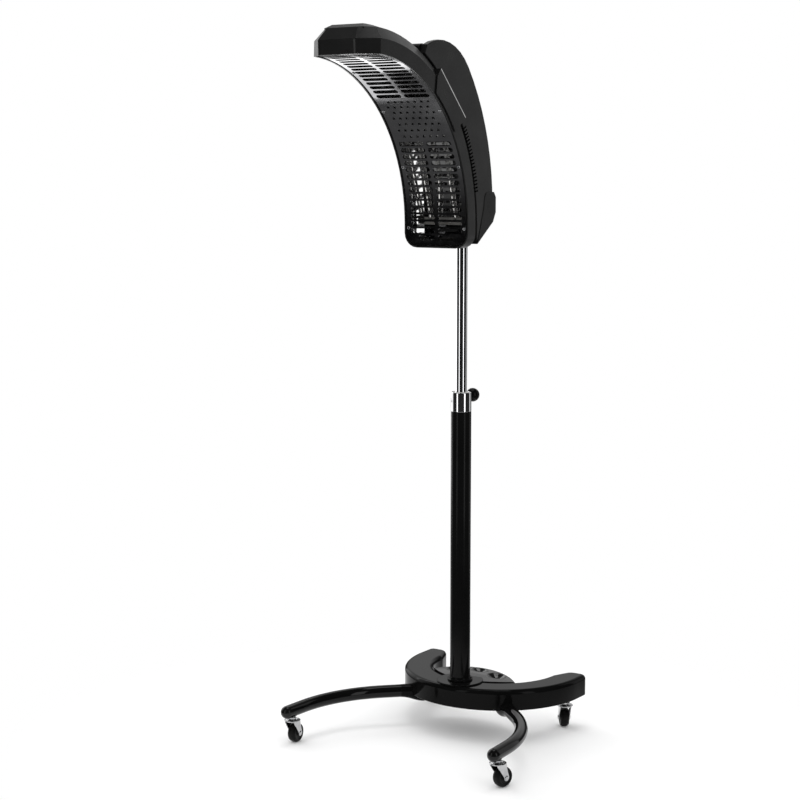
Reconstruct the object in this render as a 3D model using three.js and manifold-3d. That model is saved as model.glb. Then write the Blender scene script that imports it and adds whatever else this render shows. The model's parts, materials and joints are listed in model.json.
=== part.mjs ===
// Hair colour processor: a curved infrared arch on a tilting head, on a height-adjustable rolling stand.
// Millimetres, +Z up, floor at Z = 0. The client sits on the -Y side, and the object mirrors about X = 0.
import * as THREE from 'three';
import { mergeVertices } from 'three/addons/utils/BufferGeometryUtils.js';
import Module from 'manifold-3d';

const wasm = await Module();
wasm.setup();

const degree = Math.PI / 180;

// Clearance between pieces that seat on, or run in, each other
const fit = 0.3;

// Casters
const wheelDiameter = 38;
const wheelWidth = 17;
const wheelCrown = 3;
const wheelHeadroom = 8;
const casterTrail = 12;
const casterNeck = 5;
const forkSheet = 2;
const forkPlateDiameter = 32;
const forkArmFoot = 6;
const forkArmGap = 1;
const axleDiameter = 5;
const stemDiameter = 8;
const stemNeckDiameter = 10;
const stemRivetDiameter = 14;
const stemCollarDiameter = 15;
const stemThread = 9;
const casterRestTurn = { left_front: 7, right_front: -15, left_rear: -20, right_rear: 37 };

// Legs
const legDiameter = 25.4;
const legWall = 2;
const legSpread = 235;
const legReach = 258;
const legRise = 4.5;
const legRootAngle = 35.7;
const legSplay = 48;
const legToe = 3;
const legBendRadius = 240;
const legCasterSetback = 15;
const legCapSpigot = 9;

// Crescent base
const crescentRadius = 188;
const crescentBand = 58;
const crescentFrontOverhang = 48;
const crescentArmPast = 45;
const crescentTipWidth = 40;
const crescentTipRound = 15;
const rearCasterPast = 4;
const coverWall = 3;
const coverEdge = 9;
const rearBossLength = 12;
const rearBossDiameter = 20;
const plateThickness = 4;
const plateHubRadius = 30;
const ballastHeight = 15.2;
const ballastHubGap = 10;
const saddleDepth = 88;
const saddleEdge = 8;
const saddleDimpleDiameter = 25;
const saddleDimpleDepth = 10;
const saddleDimpleSpacing = 48;
const padDiameter = 92;
const padThickness = 2.5;
const footRingDiameter = 50;
const footRingHeight = 7;

// Column and mast
const columnDiameter = 40;
const columnWall = 2;
const columnShowing = 541;
const columnFoot = 6;
const columnBoltDiameter = 10;
const columnBoltHeadDiameter = 19;
const columnBoltHead = 6.5;
const collarHeight = 38;
const collarSpigot = 25;
const collarChamfer = 1.6;
const bushWall = 3.2;
const mastDiameter = 22;
const mastWall = 1.5;
const mastShowing = 283;
const mastInColumn = 255;
const mastInHead = 92;
const mastGuideHeight = 30;
const knobDiameter = 27;
const knobNeck = 10;
const knobNeckDiameter = 12;
const knobDrop = 10;
const studDiameter = 8;

// Arch panel, set out on the circle of its grille face
const archRadius = 300;
const archLength = 487;
const archTail = 44;
const archSetback = 92;
const archWidth = 143;
const archSideDepth = 26;
const archDepth = 46;
const archSwell = 0.12;
const archChamfer = 16;
const archWall = 3;
const archTailRound = 28;
const noseChamferAcross = 31.6;
const noseChamferAlong = 29.3;
const archStep = 18;
const crownWidth = 84;
const crownClear = 12;
const crownRise = 6;
const crownSlope = 9;
const crownSetback = 20;

// Grille
const grilleRecess = 1;
const grilleThickness = 3;
const slotPitch = 13;
const slotHeight = 8.6;
const slotLength = 54;
const slotRib = 7;
const lowerSlotStart = -12;
const lowerSlotRows = 14;
const tailSlotLength = 36;
const upperSlotStart = 270;
const upperSlotSetback = 42;
const holeDiameter = 5;
const holeRows = 7;
const holeColumns = 7;
const holePitchAcross = 14.5;
const holeMargin = 16;

// Reflector and lamps
const reflectorRim = 8;
const reflectorSheet = 1;
const lampDiameter = 10;
const lampSpacing = 56;
const lampOut = 30;
const lowerLampSpan = [6, 176];
const upperLampStart = 312;
const upperLampSetback = 39;
const carrierWidth = 84;
const carrierLength = 14;
const carrierDepth = 17;

// Side brackets on the arch
const bracketSheet = 1.5;
const bracketAngles = [34.6, 54.5];
const bracketLeanAngle = 2;
const bracketFrontInset = 4;
const bracketReach = 49;

// Rear housing
const housingWidth = 110;
const cheekThickness = 13;
const cheekWall = 2.5;
const cheekRim = 16;
const cheekBevel = 2;
const housingFrontGap = 11;
const housingDepth = 59;
const housingBackLift = 36;
const housingLobeRadius = 118;
const cheekTopAngle = 60.5;
const cheekTip = 18.4;
const cheekTipRim = 25;
const cheekFrontAngle = 60.4;
const centreTopAngle = 55.7;
const centreFrontAngle = 50;
const centreFrontInset = 3;
const centreBackInset = 8;
const centreWall = 2.5;
const housingLift = 11.5;
const housingFloorAngle = 37;
const ventCount = 20;
const ventAngles = [10, 30];
const ventWidth = 3;
const ventDepth = 10;

// Lower rear cover with the inlet and the power rocker
const podStep = 7;
const podWall = 3;
const podFloor = 5;
const podTop = 105;
const podBackHigh = 95;
const podBackLow = 66;
const podFrontHigh = 77;
const podFrontSetback = 2;
const podSideReach = 23;
const podShoulder = 15;
const podBackCorner = 10;
const podControlSpacing = 56;
const inletWidth = 27;
const inletHeight = 20;
const inletFlange = 2;
const inletFlangeThickness = 1.5;
const inletDepth = 13;
const inletWallThickness = 2.5;
const bladeWidth = 2;
const bladeHeight = 4;
const rockerWidth = 16;
const rockerHeight = 19.2;
const rockerBack = 2;
const rockerFront = 4.2;
const rockerDip = 1.2;
const rockerPivotDepth = 3;
const rockerPinDiameter = 3;
const rockerPinReach = 1.2;
const rockerRoom = 0.7;

// Tilt hinge
const tiltAngle = 59;
const tiltOut = 67.4;
const hingeBarrelDiameter = 28;
const hingePinDiameter = 8;
const hingePinOverlap = 8;
const hingeFootSpan = [-37, 31];
const hingeFootWidth = 76;
const hingeFootThickness = 4;
const hingeFootRise = 14;
const hingeFootTaper = 16;

// Mast socket inside the housing
const socketWall = 3.2;
const socketCap = 4;
const socketBelow = 14;
const socketFlangeAbove = 54;
const socketFlangeThickness = 12;

// Control panel on the back
const panelAngle = 16;
const panelWidth = 70;
const panelHeight = 104;
const panelProud = 4;
const panelDepth = 10;
const panelWall = 2.5;
const boardThickness = 1.6;
const boardBelowFace = 6;
const displayWidth = 46;
const displayHeight = 26;
const displayRise = 22;
const displayThickness = 2.2;
const keyDiameter = 13;
const keyFlange = 1.5;
const keyFlangeThickness = 1.5;
const keyProud = 1;
const keySpacingAcross = 30;
const keySpacingAlong = 24;
const keyDrop = 24;

// Heights and places worked out from the sizes above
const forkPlateTop = wheelDiameter + wheelHeadroom + forkSheet;
const casterHeight = forkPlateTop + casterNeck;
const legEndHeight = casterHeight + legDiameter / 2;
const legRootHeight = legEndHeight + legRise;
const plateBottom = legRootHeight + legDiameter / 2 + fit;
const plateTop = plateBottom + plateThickness;
const coverBottom = casterHeight + rearBossLength;
const coverTop = plateTop + fit + ballastHeight + fit + coverWall;
const padTop = coverTop + fit + padThickness;
const columnBottom = plateTop + fit;
const columnTop = coverTop + columnShowing;
const collarBottom = columnTop + fit;
const collarTop = columnTop + collarHeight;
const headBottom = collarTop + mastShowing;
const mastBottom = collarTop - mastInColumn;
const mastTop = headBottom + mastInHead;
const crescentInnerRadius = crescentRadius - crescentBand;
const crescentMidRadius = crescentRadius - crescentBand / 2;
const crescentCentre = crescentRadius - crescentFrontOverhang;
const archCentre = new THREE.Vector2(-archRadius - archSetback, headBottom + archTail);
const tiltReach = archRadius + tiltOut;
const tiltAlong = archRadius * tiltAngle * degree;
const tiltAxis = new THREE.Vector2(
  archCentre.x + tiltReach * Math.cos(tiltAngle * degree),
  archCentre.y + tiltReach * Math.sin(tiltAngle * degree),
);
const upperLampSpan = [upperLampStart, archLength - upperLampSetback];
const upperSlotRows = 1 + Math.floor((archLength - upperSlotSetback - upperSlotStart) / slotPitch);
const cheekInner = housingWidth / 2 - cheekThickness;
const housingFrontRadius = archRadius + archDepth + housingFrontGap;
const housingBackRadius = housingFrontRadius + housingDepth;
const noseReach = -archCentre.x - (archRadius + archSideDepth) * Math.cos(archLength / archRadius);
const tailReach = crescentCentre + crescentArmPast;
const columnSetback = (noseReach - tailReach) / 2;

// Finishes
function finish(color, roughness, metalness) {
  return new THREE.MeshStandardMaterial({ color, roughness, metalness });
}

const glossBlack = finish(0x161618, 0.25, 0);
const satinBlack = finish(0x242426, 0.45, 0);
const paintedSteel = finish(0x101012, 0.2, 0.1);
const chrome = finish(0xdadcdf, 0.08, 1);
const bareSteel = finish(0x8b8f94, 0.4, 1);
const castIron = finish(0x3c3d40, 0.8, 0.6);
const rubber = finish(0x141414, 0.7, 0);
const nylon = finish(0xd8d5cb, 0.5, 0);
const polishedSheet = finish(0xd9dbdd, 0.12, 1);
const quartz = finish(0xe6d8c6, 0.1, 0);
const ceramic = finish(0xe9e4d8, 0.6, 0);
const circuit = finish(0x1f5a36, 0.5, 0);
const smokedLens = finish(0x0d1216, 0.08, 0);
const keyGrey = finish(0x44474c, 0.5, 0);

// Closed bodies
function closedBody(source) {
  const bare = source.clone();
  bare.deleteAttribute('normal');
  bare.deleteAttribute('uv');
  const merged = mergeVertices(bare);
  const corners = merged.index.array;
  const places = merged.attributes.position;
  const kept = [];
  const [a, b, c] = [new THREE.Vector3(), new THREE.Vector3(), new THREE.Vector3()];
  let volume = 0;
  for (let i = 0; i < corners.length; i += 3) {
    const [p, q, r] = corners.subarray(i, i + 3);
    if (p === q || q === r || r === p) continue;
    kept.push(p, q, r);
    a.fromBufferAttribute(places, p);
    b.fromBufferAttribute(places, q);
    c.fromBufferAttribute(places, r);
    volume += a.dot(b.cross(c));
  }
  merged.setIndex(volume < 0 ? kept.reverse() : kept);
  return merged;
}

function solid(geometry) {
  const body = closedBody(geometry);
  const vertProperties = new Float32Array(body.attributes.position.array);
  const triVerts = new Uint32Array(body.index.array);
  return new wasm.Manifold(new wasm.Mesh({ numProp: 3, vertProperties, triVerts }));
}

function geometryFrom(manifold) {
  const mesh = manifold.getMesh();
  const geometry = new THREE.BufferGeometry();
  geometry.setAttribute('position', new THREE.BufferAttribute(mesh.vertProperties, 3));
  geometry.setIndex(new THREE.BufferAttribute(mesh.triVerts, 1));
  return geometry;
}

function cut(body, ...tools) {
  return geometryFrom(tools.reduce((rest, tool) => rest.subtract(solid(tool)), solid(body)));
}

function join(first, ...others) {
  return geometryFrom(others.reduce((whole, piece) => whole.add(solid(piece)), solid(first)));
}

function addPart(parent, name, geometry, material) {
  const body = closedBody(geometry);
  body.computeVertexNormals();
  const mesh = new THREE.Mesh(body, material);
  mesh.name = name;
  parent.add(mesh);
}

// Plain shapes
function block(across, along, up) {
  const box = new THREE.BoxGeometry(across[1] - across[0], along[1] - along[0], up[1] - up[0]);
  return box.translate((across[0] + across[1]) / 2, (along[0] + along[1]) / 2, (up[0] + up[1]) / 2);
}

function turned(profile, segments = 24) {
  const points = profile.map(([radius, height]) => new THREE.Vector2(radius, height));
  return new THREE.LatheGeometry(points, segments).rotateX(Math.PI / 2);
}

function tube(outer, inner, low, high, segments = 24) {
  return turned([[inner, low], [outer, low], [outer, high], [inner, high], [inner, low]], segments);
}

function uprightRod(radius, low, high, segments = 24) {
  return turned([[0, low], [radius, low], [radius, high], [0, high]], segments);
}

function crossRod(radius, from, to, y, z, segments = 16) {
  return uprightRod(radius, from, to, segments).rotateY(Math.PI / 2).translate(0, y, z);
}

function rearwardRod(radius, from, to, z, segments = 16) {
  return uprightRod(radius, from, to, segments).rotateX(-Math.PI / 2).translate(0, 0, z);
}

// A side outline in (Y, Z) given thickness along X
function sideSlab(outline, from, to, bevel = 0) {
  const slab = new THREE.ExtrudeGeometry(new THREE.Shape(outline), {
    depth: to - from - 2 * bevel,
    bevelEnabled: bevel > 0,
    bevelThickness: bevel,
    bevelSize: bevel,
    bevelOffset: -bevel,
    bevelSegments: 2,
  });
  const sideways = new THREE.Matrix4().makeBasis(
    new THREE.Vector3(0, 1, 0),
    new THREE.Vector3(0, 0, 1),
    new THREE.Vector3(1, 0, 0),
  );
  return slab.applyMatrix4(sideways).translate(from + bevel, 0, 0);
}

function arcPoints(centre, radius, from, to, steps) {
  return Array.from({ length: steps + 1 }, (_, i) => {
    const angle = (from + ((to - from) * i) / steps) * degree;
    return new THREE.Vector2(centre.x + radius * Math.cos(angle), centre.y + radius * Math.sin(angle));
  });
}

// The outline moved inward, square to each of its edges, for a counter-clockwise ring
function insetOutline(outline, distance) {
  return outline.map((point, i) => {
    const before = outline[(i + outline.length - 1) % outline.length];
    const after = outline[(i + 1) % outline.length];
    const arriving = point.clone().sub(before).normalize();
    const leaving = after.clone().sub(point).normalize();
    const inward = new THREE.Vector2(-arriving.y - leaving.y, arriving.x + leaving.x).normalize();
    const spread = inward.dot(new THREE.Vector2(-arriving.y, arriving.x));
    return point.clone().addScaledVector(inward, distance / spread);
  });
}

// A closed body through rings with equal point counts, with the same cap faces on its first and last ring.
// Each four-sided face folds along its shorter diagonal, so nested bodies fold alike.
function loft(rings, capFaces) {
  const count = rings[0].length;
  const places = rings.flat().flatMap((point) => point.toArray());
  const faces = [];
  for (let ring = 0; ring + 1 < rings.length; ring += 1) {
    for (let i = 0; i < count; i += 1) {
      const low = ring * count + i;
      const lowNext = ring * count + ((i + 1) % count);
      const rising = rings[ring][i].distanceTo(rings[ring + 1][(i + 1) % count]);
      const falling = rings[ring][(i + 1) % count].distanceTo(rings[ring + 1][i]);
      if (rising <= falling) {
        faces.push(low, lowNext, lowNext + count, low, lowNext + count, low + count);
      } else {
        faces.push(low, lowNext, low + count, lowNext, lowNext + count, low + count);
      }
    }
  }
  const last = (rings.length - 1) * count;
  for (const [p, q, r] of capFaces) {
    faces.push(p, r, q, last + p, last + q, last + r);
  }
  const geometry = new THREE.BufferGeometry();
  geometry.setAttribute('position', new THREE.Float32BufferAttribute(places, 3));
  geometry.setIndex(faces);
  return geometry;
}

// Levels of one plan outline, each [height, inset], stacked upward
function stacked(outline, levels) {
  const rings = levels.map(([height, inset]) =>
    insetOutline(outline, inset).map((point) => new THREE.Vector3(point.x, point.y, height)),
  );
  return loft(rings, THREE.ShapeUtils.triangulateShape(outline, []));
}

// Places on the arch: across it, along its grille face from the foot of the curve, and out toward its back.
// The arch swells, and is deepest a little above its middle.
function archPlace(across, along, out) {
  const curved = Math.max(along, 0);
  const angle = curved / archRadius;
  const swell = archSwell * Math.sin(Math.PI * Math.min(curved / archLength, 1) ** 1.5);
  const reach = archRadius + out * (1 + swell);
  const y = archCentre.x + reach * Math.cos(angle);
  const z = archCentre.y + reach * Math.sin(angle) + Math.min(along, 0);
  return new THREE.Vector3(across, y, z);
}

function archPolar(angle, radius) {
  const turn = angle * degree;
  return new THREE.Vector2(archCentre.x + radius * Math.cos(turn), archCentre.y + radius * Math.sin(turn));
}

// Frame on the arch with x across, y along the curve and z inward to the client
function archFrame(along, out) {
  const angle = Math.max(along, 0) / archRadius;
  const alongAxis = new THREE.Vector3(0, -Math.sin(angle), Math.cos(angle));
  const inward = new THREE.Vector3(0, -Math.cos(angle), -Math.sin(angle));
  return new THREE.Matrix4()
    .makeBasis(new THREE.Vector3(1, 0, 0), alongAxis, inward)
    .setPosition(archPlace(0, along, out));
}

// Bends levels of a mirrored outline, each [out, inset], round the arch
function bent(rightSide, levels) {
  const leftSide = rightSide.map((point) => new THREE.Vector2(-point.x, point.y)).reverse();
  const outline = [...rightSide, ...leftSide];
  const rings = levels.map(([out, inset]) =>
    insetOutline(outline, inset).map((point) => archPlace(point.x, point.y, out)),
  );
  const capFaces = [];
  const last = outline.length - 1;
  for (let i = 0; i + 1 < rightSide.length; i += 1) {
    capFaces.push([i, i + 1, last - i - 1], [i, last - i - 1, last - i]);
  }
  return loft(rings, capFaces);
}

function straightSide(halfWidth, from, to) {
  const steps = Math.ceil((to - from) / archStep);
  return Array.from({ length: steps + 1 }, (_, i) =>
    new THREE.Vector2(halfWidth, from + ((to - from) * i) / steps),
  );
}

// Right-hand side of the arch seen on its face, from the rounded tail to the chamfered nose
function archSide() {
  const halfWidth = archWidth / 2;
  const tailCentre = new THREE.Vector2(halfWidth - archTailRound, archTailRound - archTail);
  const tail = arcPoints(tailCentre, archTailRound, -90, 0, 5);
  const side = straightSide(halfWidth, archTailRound - archTail, archLength - noseChamferAlong);
  const corner = side.at(-1);
  const nose = new THREE.Vector2(halfWidth - noseChamferAcross, archLength);
  const chamfer = [0.25, 0.5, 0.75].map((share) => corner.clone().lerp(nose, share));
  return [...tail, ...side.slice(1), ...chamfer, nose];
}

// Casters
function casterStem() {
  const rivet = stemRivetDiameter / 2;
  const neck = stemNeckDiameter / 2;
  const collar = stemCollarDiameter / 2;
  const plateUnderside = forkPlateTop - forkSheet - fit;
  return turned([
    [0, plateUnderside - forkSheet],
    [rivet, plateUnderside - forkSheet],
    [rivet, plateUnderside],
    [neck, plateUnderside],
    [neck, forkPlateTop + fit],
    [collar, forkPlateTop + fit],
    [collar, casterHeight - fit],
    [stemDiameter / 2, casterHeight - fit],
    [stemDiameter / 2, casterHeight + stemThread],
    [0, casterHeight + stemThread],
  ], 16);
}

function casterFork() {
  const axleHeight = wheelDiameter / 2;
  const armInner = wheelWidth / 2 + forkArmGap;
  const armOuter = armInner + forkSheet;
  const hole = stemNeckDiameter / 2 + fit;
  const underside = forkPlateTop - forkSheet;
  const plate = tube(forkPlateDiameter / 2, hole, underside, forkPlateTop, 20);
  const armTop = underside + forkSheet / 2;
  const axleCentre = new THREE.Vector2(casterTrail, axleHeight);
  const arm = [
    new THREE.Vector2(-forkPlateDiameter / 3, armTop),
    ...arcPoints(axleCentre, forkArmFoot, 180, 360, 4),
    new THREE.Vector2(forkPlateDiameter / 3, armTop),
  ];
  return join(
    plate,
    sideSlab(arm, armInner, armOuter),
    sideSlab(arm, -armOuter, -armInner),
    crossRod(axleDiameter / 2, -armOuter - forkArmGap, armOuter + forkArmGap, casterTrail, axleHeight, 12),
  );
}

function casterWheel() {
  const radius = wheelDiameter / 2;
  const bore = axleDiameter / 2 + fit;
  const half = wheelWidth / 2;
  const wheel = turned([
    [bore, -half],
    [radius - 2 * wheelCrown, -half],
    [radius - wheelCrown / 3, wheelCrown - half],
    [radius, 0],
    [radius - wheelCrown / 3, half - wheelCrown],
    [radius - 2 * wheelCrown, half],
    [bore, half],
    [bore, -half],
  ], 24);
  return wheel.rotateY(Math.PI / 2).translate(0, casterTrail, radius);
}

function addCaster(parent, place, x, y) {
  const caster = new THREE.Group();
  caster.position.set(x, y, 0);
  caster.rotation.z = casterRestTurn[place] * degree;
  addPart(caster, `${place}_caster_stem`, casterStem(), bareSteel);
  addPart(caster, `${place}_caster_fork`, casterFork(), chrome);
  addPart(caster, `${place}_caster_wheel`, casterWheel(), rubber);
  parent.add(caster);
}

// Legs, given for the side of their sign along X
function legRoute(side) {
  const rootTurn = legRootAngle * degree;
  const root = new THREE.Vector2(
    crescentMidRadius * Math.sin(rootTurn),
    crescentCentre - crescentMidRadius * Math.cos(rootTurn),
  );
  const end = new THREE.Vector2(legSpread, -legReach);
  const leaving = new THREE.Vector2(Math.sin(legSplay * degree), -Math.cos(legSplay * degree));
  const arriving = new THREE.Vector2(Math.sin(legToe * degree), -Math.cos(legToe * degree));
  const span = end.clone().sub(root);
  const run = span.cross(arriving) / leaving.cross(arriving);
  const corner = root.clone().addScaledVector(leaving, run);
  const trim = legBendRadius * Math.tan(((legSplay - legToe) / 2) * degree);
  const bendStart = corner.clone().addScaledVector(leaving, -trim);
  const bendCentre = bendStart.clone().add(
    new THREE.Vector2(-leaving.y, leaving.x).multiplyScalar(-legBendRadius),
  );
  const bend = arcPoints(bendCentre, legBendRadius, legSplay, legToe, 6);
  const plan = [root, root.clone().lerp(bend[0], 0.5), ...bend, bend.at(-1).clone().lerp(end, 0.5), end];
  const lengths = plan.map((point, i) => (i === 0 ? 0 : point.distanceTo(plan[i - 1])));
  const total = lengths.reduce((sum, length) => sum + length, 0);
  let travelled = 0;
  return plan.map((point, i) => {
    travelled += lengths[i];
    const height = legRootHeight - (legRise * travelled) / total;
    return new THREE.Vector3(side * point.x, point.y, height);
  });
}

function legAlong(side, outer, inner) {
  const section = new THREE.Shape(arcPoints(new THREE.Vector2(), outer, 0, 360, 16).slice(1));
  if (inner > 0) {
    section.holes.push(new THREE.Path(arcPoints(new THREE.Vector2(), inner, 360, 0, 16).slice(1)));
  }
  const extrudePath = new THREE.CatmullRomCurve3(legRoute(side), false, 'centripetal');
  return new THREE.ExtrudeGeometry(section, { extrudePath, steps: 12 });
}

function legTube(side) {
  const radius = legDiameter / 2;
  const hole = uprightRod(stemDiameter / 2 + fit, casterHeight - 2, legEndHeight, 12);
  const caster = legCasterPlace(side);
  return cut(legAlong(side, radius, radius - legWall), hole.translate(caster.x, caster.y, 0));
}

function legCasterPlace(side) {
  const turn = legToe * degree;
  return new THREE.Vector2(
    side * (legSpread - legCasterSetback * Math.sin(turn)),
    -legReach + legCasterSetback * Math.cos(turn),
  );
}

function legCap(side) {
  const radius = legDiameter / 2;
  const spigot = radius - legWall - fit;
  const dome = arcPoints(new THREE.Vector2(0, fit), radius, 0, 90, 5).map((point) => [point.x, point.y]);
  dome[dome.length - 1][0] = 0;
  const cap = turned([[0, -legCapSpigot], [spigot, -legCapSpigot], [spigot, fit], ...dome], 16);
  const route = legRoute(side);
  const [before, end] = route.slice(-2);
  const direction = end.clone().sub(before).normalize();
  const turn = new THREE.Quaternion().setFromUnitVectors(new THREE.Vector3(0, 0, 1), direction);
  return cap.applyQuaternion(turn).translate(end.x, end.y, end.z);
}

// A corner rounded over the same distance along both of its edges
function roundedCorner(before, corner, after, distance) {
  const start = corner.clone().add(before.clone().sub(corner).setLength(distance));
  const end = corner.clone().add(after.clone().sub(corner).setLength(distance));
  return new THREE.QuadraticBezierCurve(start, corner, end).getPoints(4);
}

// Crescent base, seen from above
function crescentOutline() {
  const centre = new THREE.Vector2(0, crescentCentre);
  const tip = crescentCentre + crescentArmPast;
  const outerRoot = new THREE.Vector2(crescentRadius, crescentCentre);
  const innerRoot = new THREE.Vector2(crescentInnerRadius, crescentCentre);
  const outerCorner = new THREE.Vector2(crescentRadius, tip);
  const innerCorner = new THREE.Vector2(crescentRadius - crescentTipWidth, tip);
  const right = [
    ...arcPoints(centre, crescentRadius, -90, 0, 15),
    ...roundedCorner(outerRoot, outerCorner, innerCorner, crescentTipRound),
    ...roundedCorner(outerCorner, innerCorner, innerRoot, crescentTipRound),
    ...arcPoints(centre, crescentInnerRadius, 0, -90, 12),
  ];
  const left = right.slice(1, -1).map((point) => new THREE.Vector2(-point.x, point.y)).reverse();
  return [...right, ...left];
}

function columnWell() {
  const hub = uprightRod(plateHubRadius + fit, coverBottom - 1, coverTop - coverWall);
  return join(hub, uprightRod(columnDiameter / 2 + fit, coverBottom - 1, padTop + 1));
}

function baseCover() {
  const softened = coverEdge * (1 - Math.SQRT1_2);
  const shell = stacked(crescentOutline(), [
    [coverTop - coverWall, coverEdge],
    [coverTop - coverEdge, coverWall],
    [coverBottom, coverWall],
    [coverBottom, 0],
    [coverTop - coverEdge, 0],
    [coverTop - softened, softened],
    [coverTop, coverEdge],
  ]);
  const legRoom = legDiameter / 2 + fit;
  return cut(shell, legAlong(-1, legRoom, 0), legAlong(1, legRoom, 0), columnWell());
}

function rearCasterPlace(side) {
  return new THREE.Vector2(side * crescentMidRadius, crescentCentre + rearCasterPast);
}

function basePlate() {
  const sheet = stacked(crescentOutline(), [[plateBottom, coverWall + fit], [plateTop, coverWall + fit]]);
  const hub = uprightRod(plateHubRadius, plateBottom, plateTop);
  const bosses = [-1, 1].map((side) => {
    const place = rearCasterPlace(side);
    return uprightRod(rearBossDiameter / 2, casterHeight, plateTop, 16).translate(place.x, place.y, 0);
  });
  const threads = [-1, 1].map((side) => {
    const place = rearCasterPlace(side);
    const thread = uprightRod(stemDiameter / 2 + fit, casterHeight - 1, casterHeight + stemThread + fit, 12);
    return thread.translate(place.x, place.y, 0);
  });
  const boltHole = uprightRod(columnBoltDiameter / 2 + fit, plateBottom - 1, plateTop + 1, 16);
  return cut(join(sheet, hub, ...bosses), ...threads, boltHole);
}

// One half of the crescent filled with cast iron, clear of the column hub
function ballastWeight(side) {
  const low = plateTop + fit;
  const high = low + ballastHeight;
  const inset = coverEdge + fit;
  const whole = stacked(crescentOutline(), [[low, inset], [high, inset]]);
  const middle = plateHubRadius + ballastHubGap;
  const reach = crescentRadius + crescentArmPast;
  const rear = crescentCentre + crescentArmPast;
  const otherSide = side > 0 ? [-reach, middle] : [-middle, reach];
  return cut(whole, block(otherSide, [-crescentFrontOverhang, rear], [low - 1, high + 1]));
}

// Lens-shaped moulding between the crescent's arms, behind the column
function rearSaddle() {
  const radius = crescentInnerRadius - fit;
  const frontCentre = new THREE.Vector2(0, crescentCentre);
  const rearCentre = new THREE.Vector2(0, crescentCentre - 2 * radius + saddleDepth);
  const halfTurn = Math.acos((radius - saddleDepth / 2) / radius) / degree;
  const outline = [
    ...arcPoints(frontCentre, radius, -90 - halfTurn, -90 + halfTurn, 12),
    ...arcPoints(rearCentre, radius, 90 - halfTurn, 90 + halfTurn, 12).slice(1, -1),
  ];
  const body = stacked(outline, [[coverBottom, 0], [coverTop - saddleEdge, 0], [coverTop, saddleEdge]]);
  const dimpleReach = radius - saddleDimpleDiameter;
  const dimples = [-1, 0, 1].map((side) => {
    const across = side * saddleDimpleSpacing;
    const along = rearCentre.y + Math.sqrt(dimpleReach ** 2 - across ** 2);
    const dimple = uprightRod(saddleDimpleDiameter / 2, coverTop - saddleDimpleDepth, coverTop + 1, 16);
    return dimple.translate(across, along, 0);
  });
  return cut(body, columnWell(), ...dimples);
}

function columnPad() {
  return tube(padDiameter / 2, columnDiameter / 2 + fit, coverTop + fit, padTop, 32);
}

function footRing() {
  const inner = columnDiameter / 2 + fit;
  const outer = footRingDiameter / 2;
  const low = padTop + fit;
  const high = low + footRingHeight;
  const lip = (inner + outer) / 2;
  return turned([
    [inner, low],
    [outer, low],
    [outer, low + footRingHeight / 3],
    [lip, high],
    [inner, high],
    [inner, low],
  ]);
}

// Column and mast
function lowerColumn() {
  const outer = columnDiameter / 2;
  const inner = outer - columnWall;
  const thread = columnBoltDiameter / 2 + fit;
  return turned([
    [thread, columnBottom],
    [outer, columnBottom],
    [outer, columnTop],
    [inner, columnTop],
    [inner, columnBottom + columnFoot],
    [thread, columnBottom + columnFoot],
    [thread, columnBottom],
  ]);
}

function columnBolt() {
  const shank = columnBoltDiameter / 2;
  const head = columnBoltHeadDiameter / 2;
  const underHead = plateBottom - fit;
  return turned([
    [0, underHead - columnBoltHead],
    [head, underHead - columnBoltHead],
    [head, underHead],
    [shank, underHead],
    [shank, columnBottom + columnFoot],
    [0, columnBottom + columnFoot],
  ], 12);
}

const bushOuter = mastDiameter / 2 + fit + bushWall;
const knobHeight = collarTop - knobDrop;

function studHole() {
  return rearwardRod(studDiameter / 2 + fit, mastDiameter / 2, columnDiameter, knobHeight);
}

function columnCollar() {
  const bore = bushOuter + fit;
  const outer = columnDiameter / 2;
  const spigot = outer - columnWall - fit;
  const body = turned([
    [bore, collarBottom - collarSpigot],
    [spigot, collarBottom - collarSpigot],
    [spigot, collarBottom],
    [outer, collarBottom],
    [outer, collarTop - collarChamfer],
    [outer - collarChamfer, collarTop],
    [bore, collarTop],
    [bore, collarBottom - collarSpigot],
  ]);
  return cut(body, studHole());
}

function columnBush() {
  return cut(tube(bushOuter, mastDiameter / 2 + fit, collarBottom - collarSpigot, collarTop), studHole());
}

// Ball knob on a stud that presses the bush against the mast
function clampKnob() {
  const radius = knobDiameter / 2;
  const start = columnDiameter / 2 + fit;
  const tip = mastDiameter / 2 + fit;
  const neck = knobNeckDiameter / 2;
  const neckTurn = Math.asin(neck / radius) / degree;
  const centre = new THREE.Vector2(0, start + knobNeck + radius * Math.cos(neckTurn * degree));
  const ball = arcPoints(centre, radius, neckTurn - 90, 90, 8).map((point) => [point.x, point.y]);
  ball[ball.length - 1][0] = 0;
  const stud = studDiameter / 2;
  const knob = turned([[0, tip], [stud, tip], [stud, start], [neck, start], ...ball], 20);
  return knob.rotateX(-Math.PI / 2).translate(0, 0, knobHeight);
}

function mastTube() {
  return tube(mastDiameter / 2, mastDiameter / 2 - mastWall, mastBottom, mastTop);
}

function mastGuide() {
  const outer = columnDiameter / 2 - columnWall - fit;
  return tube(outer, mastDiameter / 2 + fit, mastBottom, mastBottom + mastGuideHeight);
}

// Arch panel: the levels of its chamfered back, moved in by a wall
const chamferLean = Math.atan2(archChamfer, archDepth - archSideDepth);

function archBack(wall) {
  return [
    [archDepth - wall, archChamfer + wall * Math.tan((Math.PI / 2 - chamferLean) / 2)],
    [archSideDepth - wall * Math.tan(chamferLean / 2), wall],
  ];
}

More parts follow.
